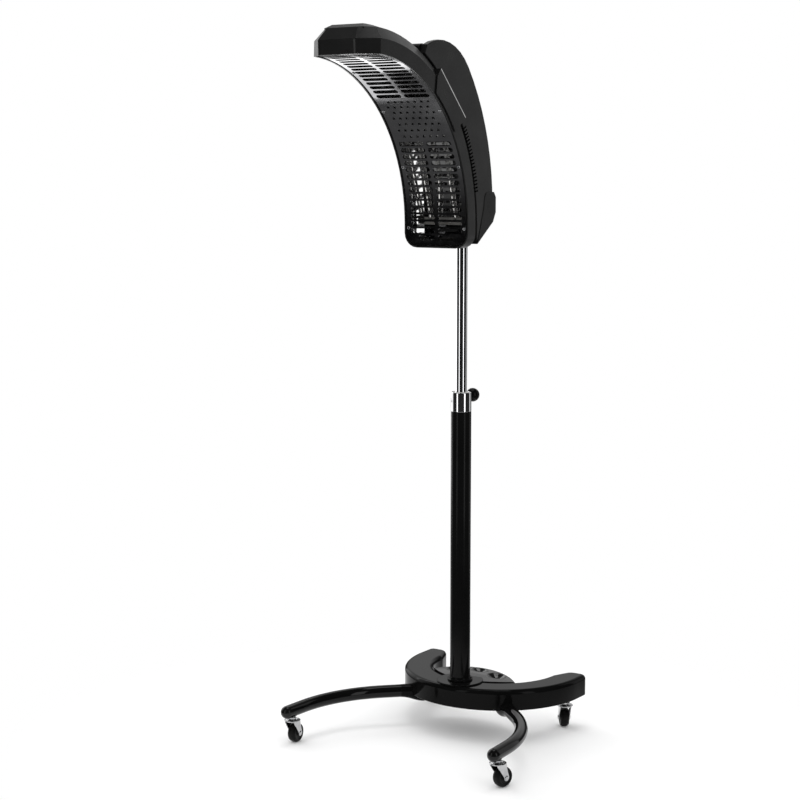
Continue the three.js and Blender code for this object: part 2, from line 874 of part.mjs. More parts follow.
function archShell() {
  const shell = bent(archSide(), [
    ...archBack(archWall),
    [0, archWall],
    [0, 0],
    ...archBack(0).reverse(),
  ]);
  const crownEnd = archLength - crownSetback;
  const crownStart = tiltAlong + hingeFootSpan[1] + crownClear;
  const crown = bent(straightSide(crownWidth / 2, crownStart, crownEnd), [
    [archDepth - archWall / 2, 0],
    [archDepth, 0],
    [archDepth + crownRise, crownSlope],
  ]);
  return join(shell, crown);
}

// Sharp-edged cutter standing on the arch's face at one place
function archPunch(outline, across, along) {
  const shape = new THREE.Shape(outline);
  const depth = 4 * (grilleRecess + grilleThickness);
  const punch = new THREE.ExtrudeGeometry(shape, { depth, bevelEnabled: false });
  return punch.translate(across, 0, 0).applyMatrix4(archFrame(along, depth / 2));
}

function slotOutline(length) {
  const radius = slotHeight / 2;
  const half = length / 2 - radius;
  return [
    ...arcPoints(new THREE.Vector2(half, 0), radius, -90, 90, 3),
    ...arcPoints(new THREE.Vector2(-half, 0), radius, 90, 270, 3),
  ];
}

function grillePunches() {
  const punches = [];
  const middle = (slotRib + slotLength) / 2;
  const slots = (start, rows) => {
    for (let row = 0; row < rows; row += 1) {
      const along = start + row * slotPitch;
      punches.push(archPunch(slotOutline(slotLength), -middle, along));
      punches.push(archPunch(slotOutline(slotLength), middle, along));
    }
  };
  slots(lowerSlotStart, lowerSlotRows);
  slots(upperSlotStart, upperSlotRows);
  const tailMiddle = (slotRib + tailSlotLength) / 2;
  for (const side of [-1, 1]) {
    punches.push(archPunch(slotOutline(tailSlotLength), side * tailMiddle, lowerSlotStart - slotPitch));
  }
  const firstHole = lowerSlotStart + (lowerSlotRows - 1) * slotPitch + holeMargin;
  const holePitch = (upperSlotStart - holeMargin - firstHole) / (holeRows - 1);
  const hole = arcPoints(new THREE.Vector2(), holeDiameter / 2, 0, 360, 6).slice(1);
  for (let row = 0; row < holeRows; row += 1) {
    const stagger = row % 2 === 0 ? 0.25 : -0.25;
    for (let column = 0; column < holeColumns; column += 1) {
      const across = (column - (holeColumns - 1) / 2 + stagger) * holePitchAcross;
      punches.push(archPunch(hole, across, firstHole + row * holePitch));
    }
  }
  return punches;
}

function archGrille() {
  const inset = archWall + fit;
  const plate = bent(archSide(), [[grilleRecess, inset], [grilleRecess + grilleThickness, inset]]);
  return cut(plate, ...grillePunches());
}

// Polished sheet that lines the shell behind the lamps
function archReflector() {
  const outer = archWall + fit;
  const inner = outer + reflectorSheet;
  return bent(archSide(), [
    ...archBack(inner),
    [reflectorRim, inner],
    [reflectorRim, outer],
    ...archBack(outer).reverse(),
  ]);
}

const reflectorFace = archDepth - archWall - fit - reflectorSheet;

function lampRod(side, span, radius, extra) {
  const low = archPlace((side * lampSpacing) / 2, span[0], lampOut);
  const high = archPlace((side * lampSpacing) / 2, span[1], lampOut);
  const length = low.distanceTo(high);
  const turn = new THREE.Quaternion().setFromUnitVectors(
    new THREE.Vector3(0, 0, 1),
    high.clone().sub(low).normalize(),
  );
  return uprightRod(radius, -extra, length + extra, 14).applyQuaternion(turn).translate(low.x, low.y, low.z);
}

function lampCarrier(span, along) {
  const half = carrierWidth / 2;
  const bar = block([-half, half], [-carrierLength / 2, carrierLength / 2], [0, carrierDepth]);
  const seats = [-1, 1].map((side) => lampRod(side, span, lampDiameter / 2 + fit, fit));
  return cut(bar.applyMatrix4(archFrame(along, reflectorFace - 2 * fit)), ...seats);
}

// Side bracket that squares off the arch's chamfered edge next to the housing
function sideBracket(side) {
  const [low, high] = bracketAngles;
  const reach = archRadius + bracketReach;
  const rearEdge = [archPolar(high, reach), archPolar(low, reach)];
  const plateFront = arcPoints(archCentre, archRadius + bracketFrontInset, low, high - bracketLeanAngle, 6);
  const fillFront = arcPoints(archCentre, archRadius + archSideDepth - archWall, low, high, 6);
  const outside = archWidth / 2 + fit + bracketSheet;
  const plate = sideSlab([...plateFront, ...rearEdge], archWidth / 2 + fit, outside);
  const fill = sideSlab([...fillFront, ...rearEdge], archWidth / 2 - archChamfer, outside);
  const archRoom = bent(archSide(), [[-archWall, -fit], ...archBack(-fit).reverse()]);
  const bracket = cut(join(plate, fill), archRoom);
  return side > 0 ? bracket : bracket.scale(-1, 1, 1);
}

function hingeBracket() {
  const [low, high] = hingeFootSpan.map((from) => tiltAlong + from);
  const seat = archDepth + fit;
  const foot = bent(straightSide(hingeFootWidth / 2, low, high), [
    [seat, 0],
    [seat + hingeFootThickness, 0],
    [seat + hingeFootRise, hingeFootTaper],
  ]);
  const end = cheekInner - fit;
  const barrel = crossRod(hingeBarrelDiameter / 2, -end, end, tiltAxis.x, tiltAxis.y, 20);
  const bore = crossRod(hingePinDiameter / 2 + fit, -end - 1, end + 1, tiltAxis.x, tiltAxis.y);
  return cut(join(foot, barrel), bore);
}

function hingePin() {
  const end = cheekInner + hingePinOverlap;
  return crossRod(hingePinDiameter / 2, -end, end, tiltAxis.x, tiltAxis.y);
}

// Rear housing, set out round the arch's back
const housingFront = archCentre.x + housingFrontRadius;
const housingBack = archCentre.x + housingBackRadius;
const backCentre = new THREE.Vector2(archCentre.x, archCentre.y + housingBackLift);
const cheekEnds = { lobeTop: cheekTopAngle, frontTop: cheekFrontAngle };

// The lobe leaves the back's curve smoothly and ends at the cheek's tip, so this is where it has to start
const lobeOffset = housingBackRadius - housingLobeRadius;
const lobeStart = lobeStartAngle();
const lobeCentre = new THREE.Vector2(
  backCentre.x + lobeOffset * Math.cos(lobeStart * degree),
  backCentre.y + lobeOffset * Math.sin(lobeStart * degree),
);

function lobeStartAngle() {
  const tip = archPolar(cheekTopAngle, housingFrontRadius + cheekTip).sub(backCentre);
  const nearest = (tip.lengthSq() + lobeOffset ** 2 - housingLobeRadius ** 2) / (2 * lobeOffset);
  return (tip.angle() - Math.acos(nearest / tip.length())) / degree;
}

function housingFloor(y, inset) {
  const turn = housingFloorAngle * degree;
  return headBottom + housingLift + Math.tan(turn) * (y - housingFront) + inset / Math.cos(turn);
}

// Where a line from the arch's centre, at an angle above level, leaves the lobe's circle
function lobeAngle(radius, angle) {
  const line = new THREE.Vector2(Math.cos(angle * degree), Math.sin(angle * degree));
  const toLobe = lobeCentre.clone().sub(archCentre);
  const nearest = line.dot(toLobe);
  const reach = nearest + Math.sqrt(radius ** 2 + nearest ** 2 - toLobe.lengthSq());
  return line.multiplyScalar(reach).sub(toLobe).angle() / degree;
}

function housingOutline({ front, back, floor, lobeTop, frontTop }) {
  const frontRadius = housingFrontRadius + front;
  const backRadius = housingBackRadius - back;
  const lobeRadius = housingLobeRadius - back;
  const lobeEnd = lobeAngle(lobeRadius, lobeTop);
  const foot = archCentre.x + frontRadius;
  const heel = archCentre.x + backRadius;
  return [
    new THREE.Vector2(foot, housingFloor(foot, floor)),
    new THREE.Vector2(heel, housingFloor(heel, floor)),
    ...arcPoints(backCentre, backRadius, 0, lobeStart, 9),
    ...arcPoints(lobeCentre, lobeRadius, lobeStart, lobeEnd, 8).slice(1),
    ...arcPoints(archCentre, frontRadius, frontTop, 0, 12),
  ];
}

function radialBlock(angle, from, to, width, across) {
  const bar = block(across, [from, to], [-width / 2, width / 2]);
  return bar.rotateX(angle * degree).translate(0, archCentre.x, archCentre.y);
}

function cheek(side) {
  const outside = housingWidth / 2;
  const outline = housingOutline({ front: 0, back: 0, floor: 0, ...cheekEnds });
  const rimTurn = cheekTipRim / housingFrontRadius / degree;
  const pocket = housingOutline({
    front: cheekRim,
    back: cheekRim,
    floor: cheekRim,
    lobeTop: cheekTopAngle - rimTurn,
    frontTop: cheekFrontAngle - rimTurn,
  });
  const vents = Array.from({ length: ventCount }, (_, i) => {
    const angle = ventAngles[0] + ((ventAngles[1] - ventAngles[0]) * i) / (ventCount - 1);
    const across = [outside - cheekThickness / 2, outside + 1];
    return radialBlock(angle, housingFrontRadius - 1, housingFrontRadius + ventDepth, ventWidth, across);
  });
  const pinEnd = cheekInner + hingePinOverlap + fit;
  const shell = cut(
    sideSlab(outline, cheekInner, outside, cheekBevel),
    sideSlab(pocket, cheekInner - 1, outside - cheekWall),
    crossRod(hingePinDiameter / 2 + fit, cheekInner - 1, pinEnd, tiltAxis.x, tiltAxis.y),
    ...vents,
  );
  return side > 0 ? shell : shell.scale(-1, 1, 1);
}

const socketOuter = mastDiameter / 2 + fit + socketWall;
const socketTop = mastTop + fit + socketCap;

function socketRoom() {
  return uprightRod(socketOuter + fit, headBottom - mastShowing / 2, socketTop + fit);
}

const centreBack = housingBackRadius - centreBackInset;

// Frame on the housing's back with x to the right seen from behind, y up and z outward
function panelFrame() {
  const turn = panelAngle * degree;
  const outward = new THREE.Vector3(0, Math.cos(turn), Math.sin(turn));
  const upward = new THREE.Vector3(0, -Math.sin(turn), Math.cos(turn));
  const centre = new THREE.Vector3(0, backCentre.x, backCentre.y);
  const place = centre.addScaledVector(outward, centreBack);
  return new THREE.Matrix4().makeBasis(new THREE.Vector3(-1, 0, 0), upward, outward).setPosition(place);
}

function panelBlock(width, height, middle, from, to) {
  return block([-width / 2, width / 2], [middle - height / 2, middle + height / 2], [from, to]);
}

function centreShell() {
  const outline = housingOutline({
    front: centreFrontInset,
    back: centreBackInset,
    floor: fit,
    lobeTop: centreTopAngle,
    frontTop: centreFrontAngle,
  });
  const end = cheekInner - fit;
  const opening = panelBlock(panelWidth + 2 * fit, panelHeight + 2 * fit, 0, -panelDepth - fit, panelDepth);
  return cut(
    sideSlab(outline, -end, end),
    sideSlab(insetOutline(outline, centreWall), -end - 1, end + 1),
    socketRoom(),
    opening.applyMatrix4(panelFrame()),
  );
}

function mastSocket() {
  const bore = mastDiameter / 2 + fit;
  const low = headBottom + socketBelow;
  const sleeve = turned([
    [0, mastTop + fit],
    [bore, mastTop + fit],
    [bore, low],
    [socketOuter, low],
    [socketOuter, socketTop],
    [0, socketTop],
  ]);
  const flangeLow = headBottom + socketFlangeAbove;
  const end = cheekInner - fit;
  const front = housingFront + centreFrontInset + centreWall + fit;
  const back = archCentre.x + centreBack - centreWall - fit;
  const flange = block([-end, end], [front, back], [flangeLow, flangeLow + socketFlangeThickness]);
  const mastRoom = uprightRod(bore, low - 1, mastTop + fit);
  return cut(join(sleeve, flange), mastRoom);
}

// Lower rear cover
const podBack = housingBack + podStep;
const podControlHeight = headBottom + (podBackLow + podBackHigh) / 2;
const inletPlace = -podControlSpacing / 2;
const rockerPlace = podControlSpacing / 2;
const rockerPivot = podBack - rockerPivotDepth;

function podOutline() {
  const front = housingFront + podFrontSetback;
  const side = front + podSideReach;
  const top = headBottom + podTop;
  const lowBack = podBack - podBackCorner;
  const shoulder = new THREE.QuadraticBezierCurve(
    new THREE.Vector2(side + podShoulder, top),
    new THREE.Vector2(side, top),
    new THREE.Vector2(side, headBottom + podFrontHigh),
  );
  return [
    new THREE.Vector2(front, housingFloor(front, -podFloor)),
    new THREE.Vector2(lowBack, housingFloor(lowBack, -podFloor)),
    new THREE.Vector2(podBack, headBottom + podBackLow),
    new THREE.Vector2(podBack, headBottom + podBackHigh),
    new THREE.Vector2(housingBack, top),
    ...shoulder.getPoints(6),
  ];
}

function aroundControl(middle, width, height, from, to) {
  const across = [middle - width / 2, middle + width / 2];
  return block(across, [from, to], [podControlHeight - height / 2, podControlHeight + height / 2]);
}

function lowerRearCover() {
  const inside = housingWidth / 2 + fit;
  const outside = inside + podWall;
  const room = housingOutline({ front: -fit, back: -fit, floor: -fit, ...cheekEnds });
  const pinEnd = rockerWidth / 2 + rockerPinReach + 2 * fit;
  const pinHole = crossRod(rockerPinDiameter / 2 + fit, -pinEnd, pinEnd, rockerPivot, podControlHeight, 12);
  const through = [housingBack - 1, podBack + 1];
  return cut(
    sideSlab(podOutline(), -outside, outside, cheekBevel),
    sideSlab(room, -inside, inside),
    socketRoom(),
    aroundControl(inletPlace, inletWidth + 2 * fit, inletHeight + 2 * fit, ...through),
    aroundControl(rockerPlace, rockerWidth + 2 * fit, rockerHeight + 2 * rockerRoom, ...through),
    pinHole.translate(rockerPlace, 0, 0),
  );
}

function mainsInlet() {
  const flangeStart = podBack + fit;
  const flangeEnd = flangeStart + inletFlangeThickness;
  const bodyBack = podBack - inletDepth;
  const rim = 2 * inletFlange;
  const insideWall = 2 * inletWallThickness;
  const well = bodyBack + inletWallThickness;
  const shell = cut(
    join(
      aroundControl(inletPlace, inletWidth, inletHeight, bodyBack, flangeEnd),
      aroundControl(inletPlace, inletWidth + rim, inletHeight + rim, flangeStart, flangeEnd),
    ),
    aroundControl(inletPlace, inletWidth - insideWall, inletHeight - insideWall, well, flangeEnd + 1),
  );
  const bladeSpacing = (inletWidth - insideWall) / 4;
  const bladeTip = podBack - bladeWidth;
  const blades = [-1, 0, 1].map((step) =>
    aroundControl(inletPlace + step * bladeSpacing, bladeWidth, bladeHeight, bodyBack + 1, bladeTip),
  );
  return join(shell, ...blades);
}

function powerRocker() {
  const half = rockerHeight / 2;
  const profile = [
    [-rockerBack, -half],
    [rockerFront, -half],
    [rockerFront - rockerDip, 0],
    [rockerFront, half],
    [-rockerBack, half],
  ].map(([y, z]) => new THREE.Vector2(rockerPivot + y, podControlHeight + z));
  const pinEnd = rockerWidth / 2 + rockerPinReach;
  const rocker = join(
    sideSlab(profile, -rockerWidth / 2, rockerWidth / 2),
    crossRod(rockerPinDiameter / 2, -pinEnd, pinEnd, rockerPivot, podControlHeight, 12),
  );
  return rocker.translate(rockerPlace, 0, 0);
}

// Control panel, in the frame of the housing's back
const panelInside = panelProud - panelWall;
const keyPlaces = [
  [-keySpacingAcross / 2, keySpacingAlong / 2 - keyDrop],
  [keySpacingAcross / 2, keySpacingAlong / 2 - keyDrop],
  [-keySpacingAcross / 2, -keySpacingAlong / 2 - keyDrop],
  [keySpacingAcross / 2, -keySpacingAlong / 2 - keyDrop],
];

function controlPanel() {
  const low = panelProud - panelDepth;
  const keyHoles = keyPlaces.map(([x, y]) =>
    uprightRod(keyDiameter / 2 + fit, low, panelProud + 1, 16).translate(x, y, 0),
  );
  return cut(
    panelBlock(panelWidth, panelHeight, 0, low, panelProud),
    panelBlock(panelWidth - 2 * panelWall, panelHeight - 2 * panelWall, 0, low - 1, panelInside),
    panelBlock(displayWidth + 2 * fit, displayHeight + 2 * fit, displayRise, low, panelProud + 1),
    ...keyHoles,
  );
}

function controlBoard() {
  const top = panelProud - boardBelowFace;
  const room = 2 * (panelWall + fit);
  return panelBlock(panelWidth - room, panelHeight - room, 0, top - boardThickness, top);
}

function displayLens() {
  return panelBlock(displayWidth, displayHeight, displayRise, panelProud - displayThickness, panelProud);
}

function panelKey() {
  const flangeTop = panelInside - fit;
  const radius = keyDiameter / 2;
  return turned([
    [0, flangeTop - keyFlangeThickness],
    [radius + keyFlange, flangeTop - keyFlangeThickness],
    [radius + keyFlange, flangeTop],
    [radius, flangeTop],
    [radius, panelProud + keyProud],
    [0, panelProud + keyProud],
  ], 16);
}

// Assembly on the column's axis
const stand = new THREE.Group();
stand.position.y = columnSetback;

for (const [name, side] of [['left', -1], ['right', 1]]) {
  addPart(stand, `${name}_leg`, legTube(side), paintedSteel);
  addPart(stand, `${name}_leg_cap`, legCap(side), glossBlack);
  addPart(stand, `${name}_ballast`, ballastWeight(side), castIron);
  const front = legCasterPlace(side);
  addCaster(stand, `${name}_front`, front.x, front.y);
  const rear = rearCasterPlace(side);
  addCaster(stand, `${name}_rear`, rear.x, rear.y);
}

addPart(stand, 'base_cover', baseCover(), glossBlack);
addPart(stand, 'base_plate', basePlate(), paintedSteel);
addPart(stand, 'rear_saddle', rearSaddle(), glossBlack);
addPart(stand, 'column_pad', columnPad(), glossBlack);
addPart(stand, 'column_foot_ring', footRing(), glossBlack);
addPart(stand, 'lower_column', lowerColumn(), paintedSteel);
addPart(stand, 'column_bolt', columnBolt(), bareSteel);
addPart(stand, 'column_collar', columnCollar(), chrome);
addPart(stand, 'column_bush', columnBush(), nylon);
addPart(stand, 'clamp_knob', clampKnob(), rubber);
addPart(stand, 'mast_tube', mastTube(), chrome);
addPart(stand, 'mast_guide', mastGuide(), nylon);

addPart(stand, 'mast_socket', mastSocket(), bareSteel);
addPart(stand, 'centre_shell', centreShell(), satinBlack);
addPart(stand, 'lower_rear_cover', lowerRearCover(), satinBlack);
addPart(stand, 'hinge_pin', hingePin(), bareSteel);
addPart(stand, 'mains_inlet', mainsInlet(), rubber);
addPart(stand, 'power_rocker', powerRocker(), keyGrey);

const panel = new THREE.Group();
panel.applyMatrix4(panelFrame());
addPart(panel, 'control_panel', controlPanel(), glossBlack);
addPart(panel, 'control_board', controlBoard(), circuit);
addPart(panel, 'display_lens', displayLens(), smokedLens);
keyPlaces.forEach(([x, y], i) => {
  addPart(panel, `panel_key_${i + 1}`, panelKey().translate(x, y, 0), keyGrey);
});
stand.add(panel);

addPart(stand, 'arch_shell', archShell(), satinBlack);
addPart(stand, 'arch_grille', archGrille(), satinBlack);
addPart(stand, 'arch_reflector', archReflector(), polishedSheet);
addPart(stand, 'hinge_bracket', hingeBracket(), paintedSteel);
for (const [name, side] of [['left', -1], ['right', 1]]) {
  addPart(stand, `${name}_cheek`, cheek(side), satinBlack);
  addPart(stand, `${name}_side_bracket`, sideBracket(side), satinBlack);
}
for (const [level, span] of [['lower', lowerLampSpan], ['upper', upperLampSpan]]) {
  addPart(stand, `${level}_left_lamp`, lampRod(-1, span, lampDiameter / 2, 0), quartz);
  addPart(stand, `${level}_right_lamp`, lampRod(1, span, lampDiameter / 2, 0), quartz);
  addPart(stand, `${level}_lamp_foot_carrier`, lampCarrier(span, span[0]), ceramic);
  addPart(stand, `${level}_lamp_head_carrier`, lampCarrier(span, span[1]), ceramic);
}

const processor = new THREE.Group();
processor.add(stand);

export default processor;
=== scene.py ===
import json
import math

import bmesh
import bpy
from mathutils import Matrix, Vector
from mathutils.geometry import delaunay_2d_cdt


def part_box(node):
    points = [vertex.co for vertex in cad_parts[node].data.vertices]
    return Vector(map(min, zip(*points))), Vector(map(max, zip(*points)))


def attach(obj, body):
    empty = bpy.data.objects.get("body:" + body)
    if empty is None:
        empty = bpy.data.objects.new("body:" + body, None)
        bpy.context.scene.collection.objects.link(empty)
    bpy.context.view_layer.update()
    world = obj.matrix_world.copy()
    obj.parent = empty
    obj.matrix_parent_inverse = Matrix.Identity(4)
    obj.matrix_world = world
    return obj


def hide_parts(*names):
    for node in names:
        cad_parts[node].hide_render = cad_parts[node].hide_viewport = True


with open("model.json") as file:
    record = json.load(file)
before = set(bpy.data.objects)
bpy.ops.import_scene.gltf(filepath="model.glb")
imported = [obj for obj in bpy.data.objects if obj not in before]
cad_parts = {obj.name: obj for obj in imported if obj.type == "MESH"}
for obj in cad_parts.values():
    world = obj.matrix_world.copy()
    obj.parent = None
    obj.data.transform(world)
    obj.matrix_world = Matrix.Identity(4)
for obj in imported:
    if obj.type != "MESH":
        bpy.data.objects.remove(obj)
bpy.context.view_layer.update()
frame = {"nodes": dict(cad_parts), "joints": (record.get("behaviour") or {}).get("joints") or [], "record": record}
nodes = frame["nodes"]
scene = bpy.context.scene
scene.view_settings.view_transform = "Standard"
print("frame loaded with", len(nodes), "nodes")

mm = 0.001  # sizes below are millimetres
bothSides = (("left", -1), ("right", 1))
columnLow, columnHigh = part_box("lower_column")
columnY = (columnLow.y + columnHigh.y) / 2 / mm


# camera
cameraSetup = dict(
    place=(1.8713, -2.8688, 1.1073), turn=(82.8958, 0.0, 34.0658), lens=81.66, sensor=36.0, reach=50)


def placeCamera(setup):
    camera = bpy.data.cameras.new("studioCamera")
    camera.lens = setup["lens"]
    camera.sensor_width = setup["sensor"]
    camera.clip_end = setup["reach"]
    holder = bpy.data.objects.new("studioCamera", camera)
    scene.collection.objects.link(holder)
    holder.location = setup["place"]
    holder.rotation_euler = [math.radians(angle) for angle in setup["turn"]]
    scene.camera = holder


placeCamera(cameraSetup)
print("camera placed")


# node helpers, for shaders and geometry
def feed(tree, node, inputs):  # inputs are values, or the sockets that drive them
    for key, value in inputs.items():
        if isinstance(value, bpy.types.NodeSocket):
            tree.links.new(value, node.inputs[key])
        else:
            node.inputs[key].default_value = value
    return node


def addNode(tree, kind, inputs=None, **settings):
    node = tree.nodes.new(kind)
    for name, value in settings.items():
        setattr(node, name, value)
    return feed(tree, node, inputs or {})


def setStops(ramp, stops):  # stops are (position, color)
    band = ramp.color_ramp
    while len(band.elements) < len(stops):
        band.elements.new(0.5)
    for element, (position, color) in zip(band.elements, stops):
        element.position = position
        element.color = (*color, 1.0)
    return ramp.outputs["Color"]


def grey(level):
    return (level, level, level)


class FinishTree:
    def __init__(self, name):
        self.material = bpy.data.materials.new(name)
        self.material.use_nodes = True
        self.tree = self.material.node_tree
        self.place = self.add("ShaderNodeTexCoord").outputs["Object"]

    def add(self, kind, **inputs):  # an underscore stands for the space in an input's name
        return addNode(self.tree, kind, {key.replace("_", " "): value for key, value in inputs.items()})

    def noise(self, scale, detail=3.0, rough=0.55, stretch=None):
        place = self.place
        if stretch:  # object coordinates scaled along each axis
            place = self.add("ShaderNodeMapping", Vector=place, Scale=stretch).outputs["Vector"]
        noise = self.add("ShaderNodeTexNoise", Vector=place, Scale=scale, Detail=detail, Roughness=rough)
        return noise.outputs["Fac"]

    def cells(self, scale):
        return self.add("ShaderNodeTexVoronoi", Vector=self.place, Scale=scale).outputs["Distance"]

    def spread(self, source, low, high, fromLow=0.3, fromHigh=0.7):
        ranged = self.add("ShaderNodeMapRange", Value=source, From_Min=fromLow, From_Max=fromHigh, To_Min=low,
                          To_Max=high)
        return ranged.outputs["Result"]

    def tones(self, source, deep, bright, low=0.3, high=0.7):
        return setStops(self.add("ShaderNodeValToRGB", Fac=source), [(low, deep), (high, bright)])

    def bumped(self, height, distance, strength, onto=None):
        bump = self.add("ShaderNodeBump", Height=height, Distance=distance, Strength=strength)
        if onto:
            self.tree.links.new(onto, bump.inputs["Normal"])
        return bump.outputs["Normal"]

    def finish(self, color, roughness, normal, fixed):
        feed(self.tree, self.tree.nodes["Principled BSDF"],
             {"Base Color": color, "Roughness": roughness, "Normal": normal, **fixed})
        return self.material


# moulded plastics
def glossMoulding(name, dark, light, smooth, dull, gloss, ripple=(22, 0.00010), cloud=14,
                  scuff=(45, 300, 300), speck=(900, 0.00001)):
    tree = FinishTree(name)
    color = tree.tones(tree.noise(cloud), grey(dark), grey(light))
    scuffs = tree.noise(1.0, detail=5.0, rough=0.7, stretch=scuff)
    roughness = tree.spread(scuffs, smooth, dull, fromLow=0.45, fromHigh=0.75)
    rippled = tree.bumped(tree.noise(ripple[0], detail=1.0), ripple[1], strength=0.5)
    specked = tree.bumped(tree.noise(speck[0], detail=2.0), speck[1], strength=0.4, onto=rippled)
    return tree.finish(color, roughness, specked, {"Specular IOR Level": gloss})


def grainedMoulding(name, dark, light, smooth, dull, gloss, cloud, wipe, grain, ripple):
    tree = FinishTree(name)
    color = tree.tones(tree.noise(cloud), grey(dark), grey(light))
    roughness = tree.spread(tree.noise(wipe, detail=4.0), smooth, dull)
    grained = tree.bumped(tree.cells(grain[0]), grain[1], strength=0.35)
    rippled = tree.bumped(tree.noise(ripple[0], detail=1.0), ripple[1], strength=0.4, onto=grained)
    return tree.finish(color, roughness, rippled, {"Specular IOR Level": gloss})


# coatings, plate and bare metals
def powderCoat(name, dark, light, smooth, dull, gloss, cloud=9, wipe=26, peel=(160, 0.00002)):
    tree = FinishTree(name)
    color = tree.tones(tree.noise(cloud), grey(dark), grey(light))
    roughness = tree.spread(tree.noise(wipe, detail=4.0), smooth, dull)
    peeled = tree.bumped(tree.noise(peel[0], detail=2.0), peel[1], strength=0.6)
    return tree.finish(color, roughness, peeled, {"Specular IOR Level": gloss})


def brightPlate(name, deep, bright, smooth, dull, tint, smear, wave):
    tree = FinishTree(name)
    color = tree.tones(tree.noise(tint, detail=2.0), deep, bright)
    smears = tree.noise(1.0, detail=5.0, rough=0.65, stretch=smear)
    roughness = tree.spread(smears, smooth, dull, fromLow=0.4, fromHigh=0.8)
    waved = tree.bumped(tree.noise(wave[0], detail=1.0), wave[1], strength=0.3)
    return tree.finish(color, roughness, waved, {"Metallic": 1.0})


def roughMetal(name, deep, bright, smooth, dull, metal, spot, pit):
    tree = FinishTree(name)
    spots = tree.noise(spot, detail=5.0, rough=0.65)
    color = tree.tones(spots, deep, bright, low=0.35, high=0.65)
    roughness = tree.spread(spots, smooth, dull)
    pitted = tree.bumped(tree.cells(pit[0]), pit[1], strength=0.7)
    return tree.finish(color, roughness, pitted, {"Metallic": metal})


# nylon, rubber, ceramic and the like
def dullSolid(name, deep, bright, smooth, dull, gloss, cloud, wipe, grain):
    tree = FinishTree(name)
    color = tree.tones(tree.noise(cloud, detail=4.0), deep, bright)
    roughness = tree.spread(tree.noise(wipe, detail=4.0), smooth, dull)
    grained = tree.bumped(tree.noise(grain[0], detail=3.0), grain[1], strength=0.6)
    return tree.finish(color, roughness, grained, {"Specular IOR Level": gloss})


def clearTube(name, deep, bright, smooth, dull, clear, index, haze, draw):
    tree = FinishTree(name)
    hazed = tree.noise(haze, detail=3.0)
    color = tree.tones(hazed, deep, bright)
    roughness = tree.spread(hazed, smooth, dull)
    drawn = tree.bumped(tree.noise(draw[0], detail=1.0), draw[1], strength=0.3)
    return tree.finish(color, roughness, drawn, {"Transmission Weight": clear, "IOR": index})


# finishes by slot; ripple, speck, grain, peel, wave, pit and draw are (scale, depth in metres)
finishes = {
    "gloss_black": glossMoulding(
        "blackGlossMoulding", 0.0030, 0.0042, smooth=0.08, dull=0.15, gloss=0.27, ripple=(26, 0.00014)),
    "satin_black": grainedMoulding(
        "blackSatinMoulding", 0.0048, 0.0066, smooth=0.27, dull=0.36, gloss=0.3, cloud=10, wipe=20,
        grain=(1500, 0.00004), ripple=(30, 0.00012)),
    "black_sheet": powderCoat(
        "blackSheetPaint", 0.0055, 0.0075, smooth=0.22, dull=0.32, gloss=0.26, cloud=18, wipe=40,
        peel=(420, 0.00004)),
    "black_steel": powderCoat("blackPowderCoat", 0.0028, 0.0040, smooth=0.10, dull=0.17, gloss=0.1),
    "bright_chrome": brightPlate(
        "brightChromePlate", (0.80, 0.81, 0.83), (0.90, 0.905, 0.91), smooth=0.02, dull=0.06, tint=25,
        smear=(90, 90, 18), wave=(60, 0.00001)),
    "plated_steel": brightPlate(
        "zincPlatedSteel", (0.46, 0.47, 0.49), grey(0.60), smooth=0.24, dull=0.38, tint=120,
        smear=(160, 160, 160), wave=(300, 0.00004)),
    "grey_iron": roughMetal(
        "castIron", (0.10, 0.098, 0.096), (0.19, 0.185, 0.18), smooth=0.65, dull=0.85, metal=0.7,
        spot=160, pit=(500, 0.0003)),
    "black_rubber": dullSolid(
        "treadRubber", grey(0.0020), (0.0036, 0.0036, 0.0034), smooth=0.34, dull=0.5, gloss=0.12,
        cloud=70, wipe=120, grain=(900, 0.00006)),
    "black_nylon": dullSolid(
        "blackNylon", grey(0.0016), grey(0.0026), smooth=0.22, dull=0.34, gloss=0.12, cloud=60, wipe=90,
        grain=(1200, 0.00003)),
    "white_nylon": dullSolid(
        "whiteNylon", (0.66, 0.65, 0.61), (0.76, 0.755, 0.73), smooth=0.35, dull=0.5, gloss=0.5,
        cloud=80, wipe=90, grain=(900, 0.00003)),
    "polished_sheet": brightPlate(
        "polishedReflector", grey(0.52), (0.74, 0.74, 0.735), smooth=0.03, dull=0.09, tint=40,
        smear=(900, 14, 14), wave=(40, 0.00060)),
    "quartz_tube": clearTube(
        "quartzGlass", (0.78, 0.77, 0.75), (0.90, 0.89, 0.87), smooth=0.03, dull=0.10, clear=0.95,
        index=1.46, haze=90, draw=(200, 0.00003)),
    "lamp_ceramic": dullSolid(
        "lampCeramic", (0.10, 0.097, 0.09), (0.15, 0.145, 0.135), smooth=0.5, dull=0.7, gloss=0.4,
        cloud=120, wipe=150, grain=(800, 0.00006)),
    "green_board": dullSolid(
        "circuitBoard", (0.010, 0.075, 0.030), (0.018, 0.12, 0.048), smooth=0.3, dull=0.45, gloss=0.5,
        cloud=200, wipe=150, grain=(600, 0.00005)),
    "smoked_lens": dullSolid(
        "smokedLens", (0.006, 0.005, 0.005), (0.009, 0.007, 0.007), smooth=0.04, dull=0.09, gloss=0.6,
        cloud=30, wipe=60, grain=(60, 0.00003)),
    "grey_keys": dullSolid(
        "greyKeyRubber", (0.20, 0.20, 0.205), (0.26, 0.26, 0.262), smooth=0.45, dull=0.6, gloss=0.45,
        cloud=120, wipe=150, grain=(1100, 0.00003)),
}
baseFinish = glossMoulding("deepGlossMoulding", 0.0026, 0.0036, smooth=0.06, dull=0.12, gloss=0.06)
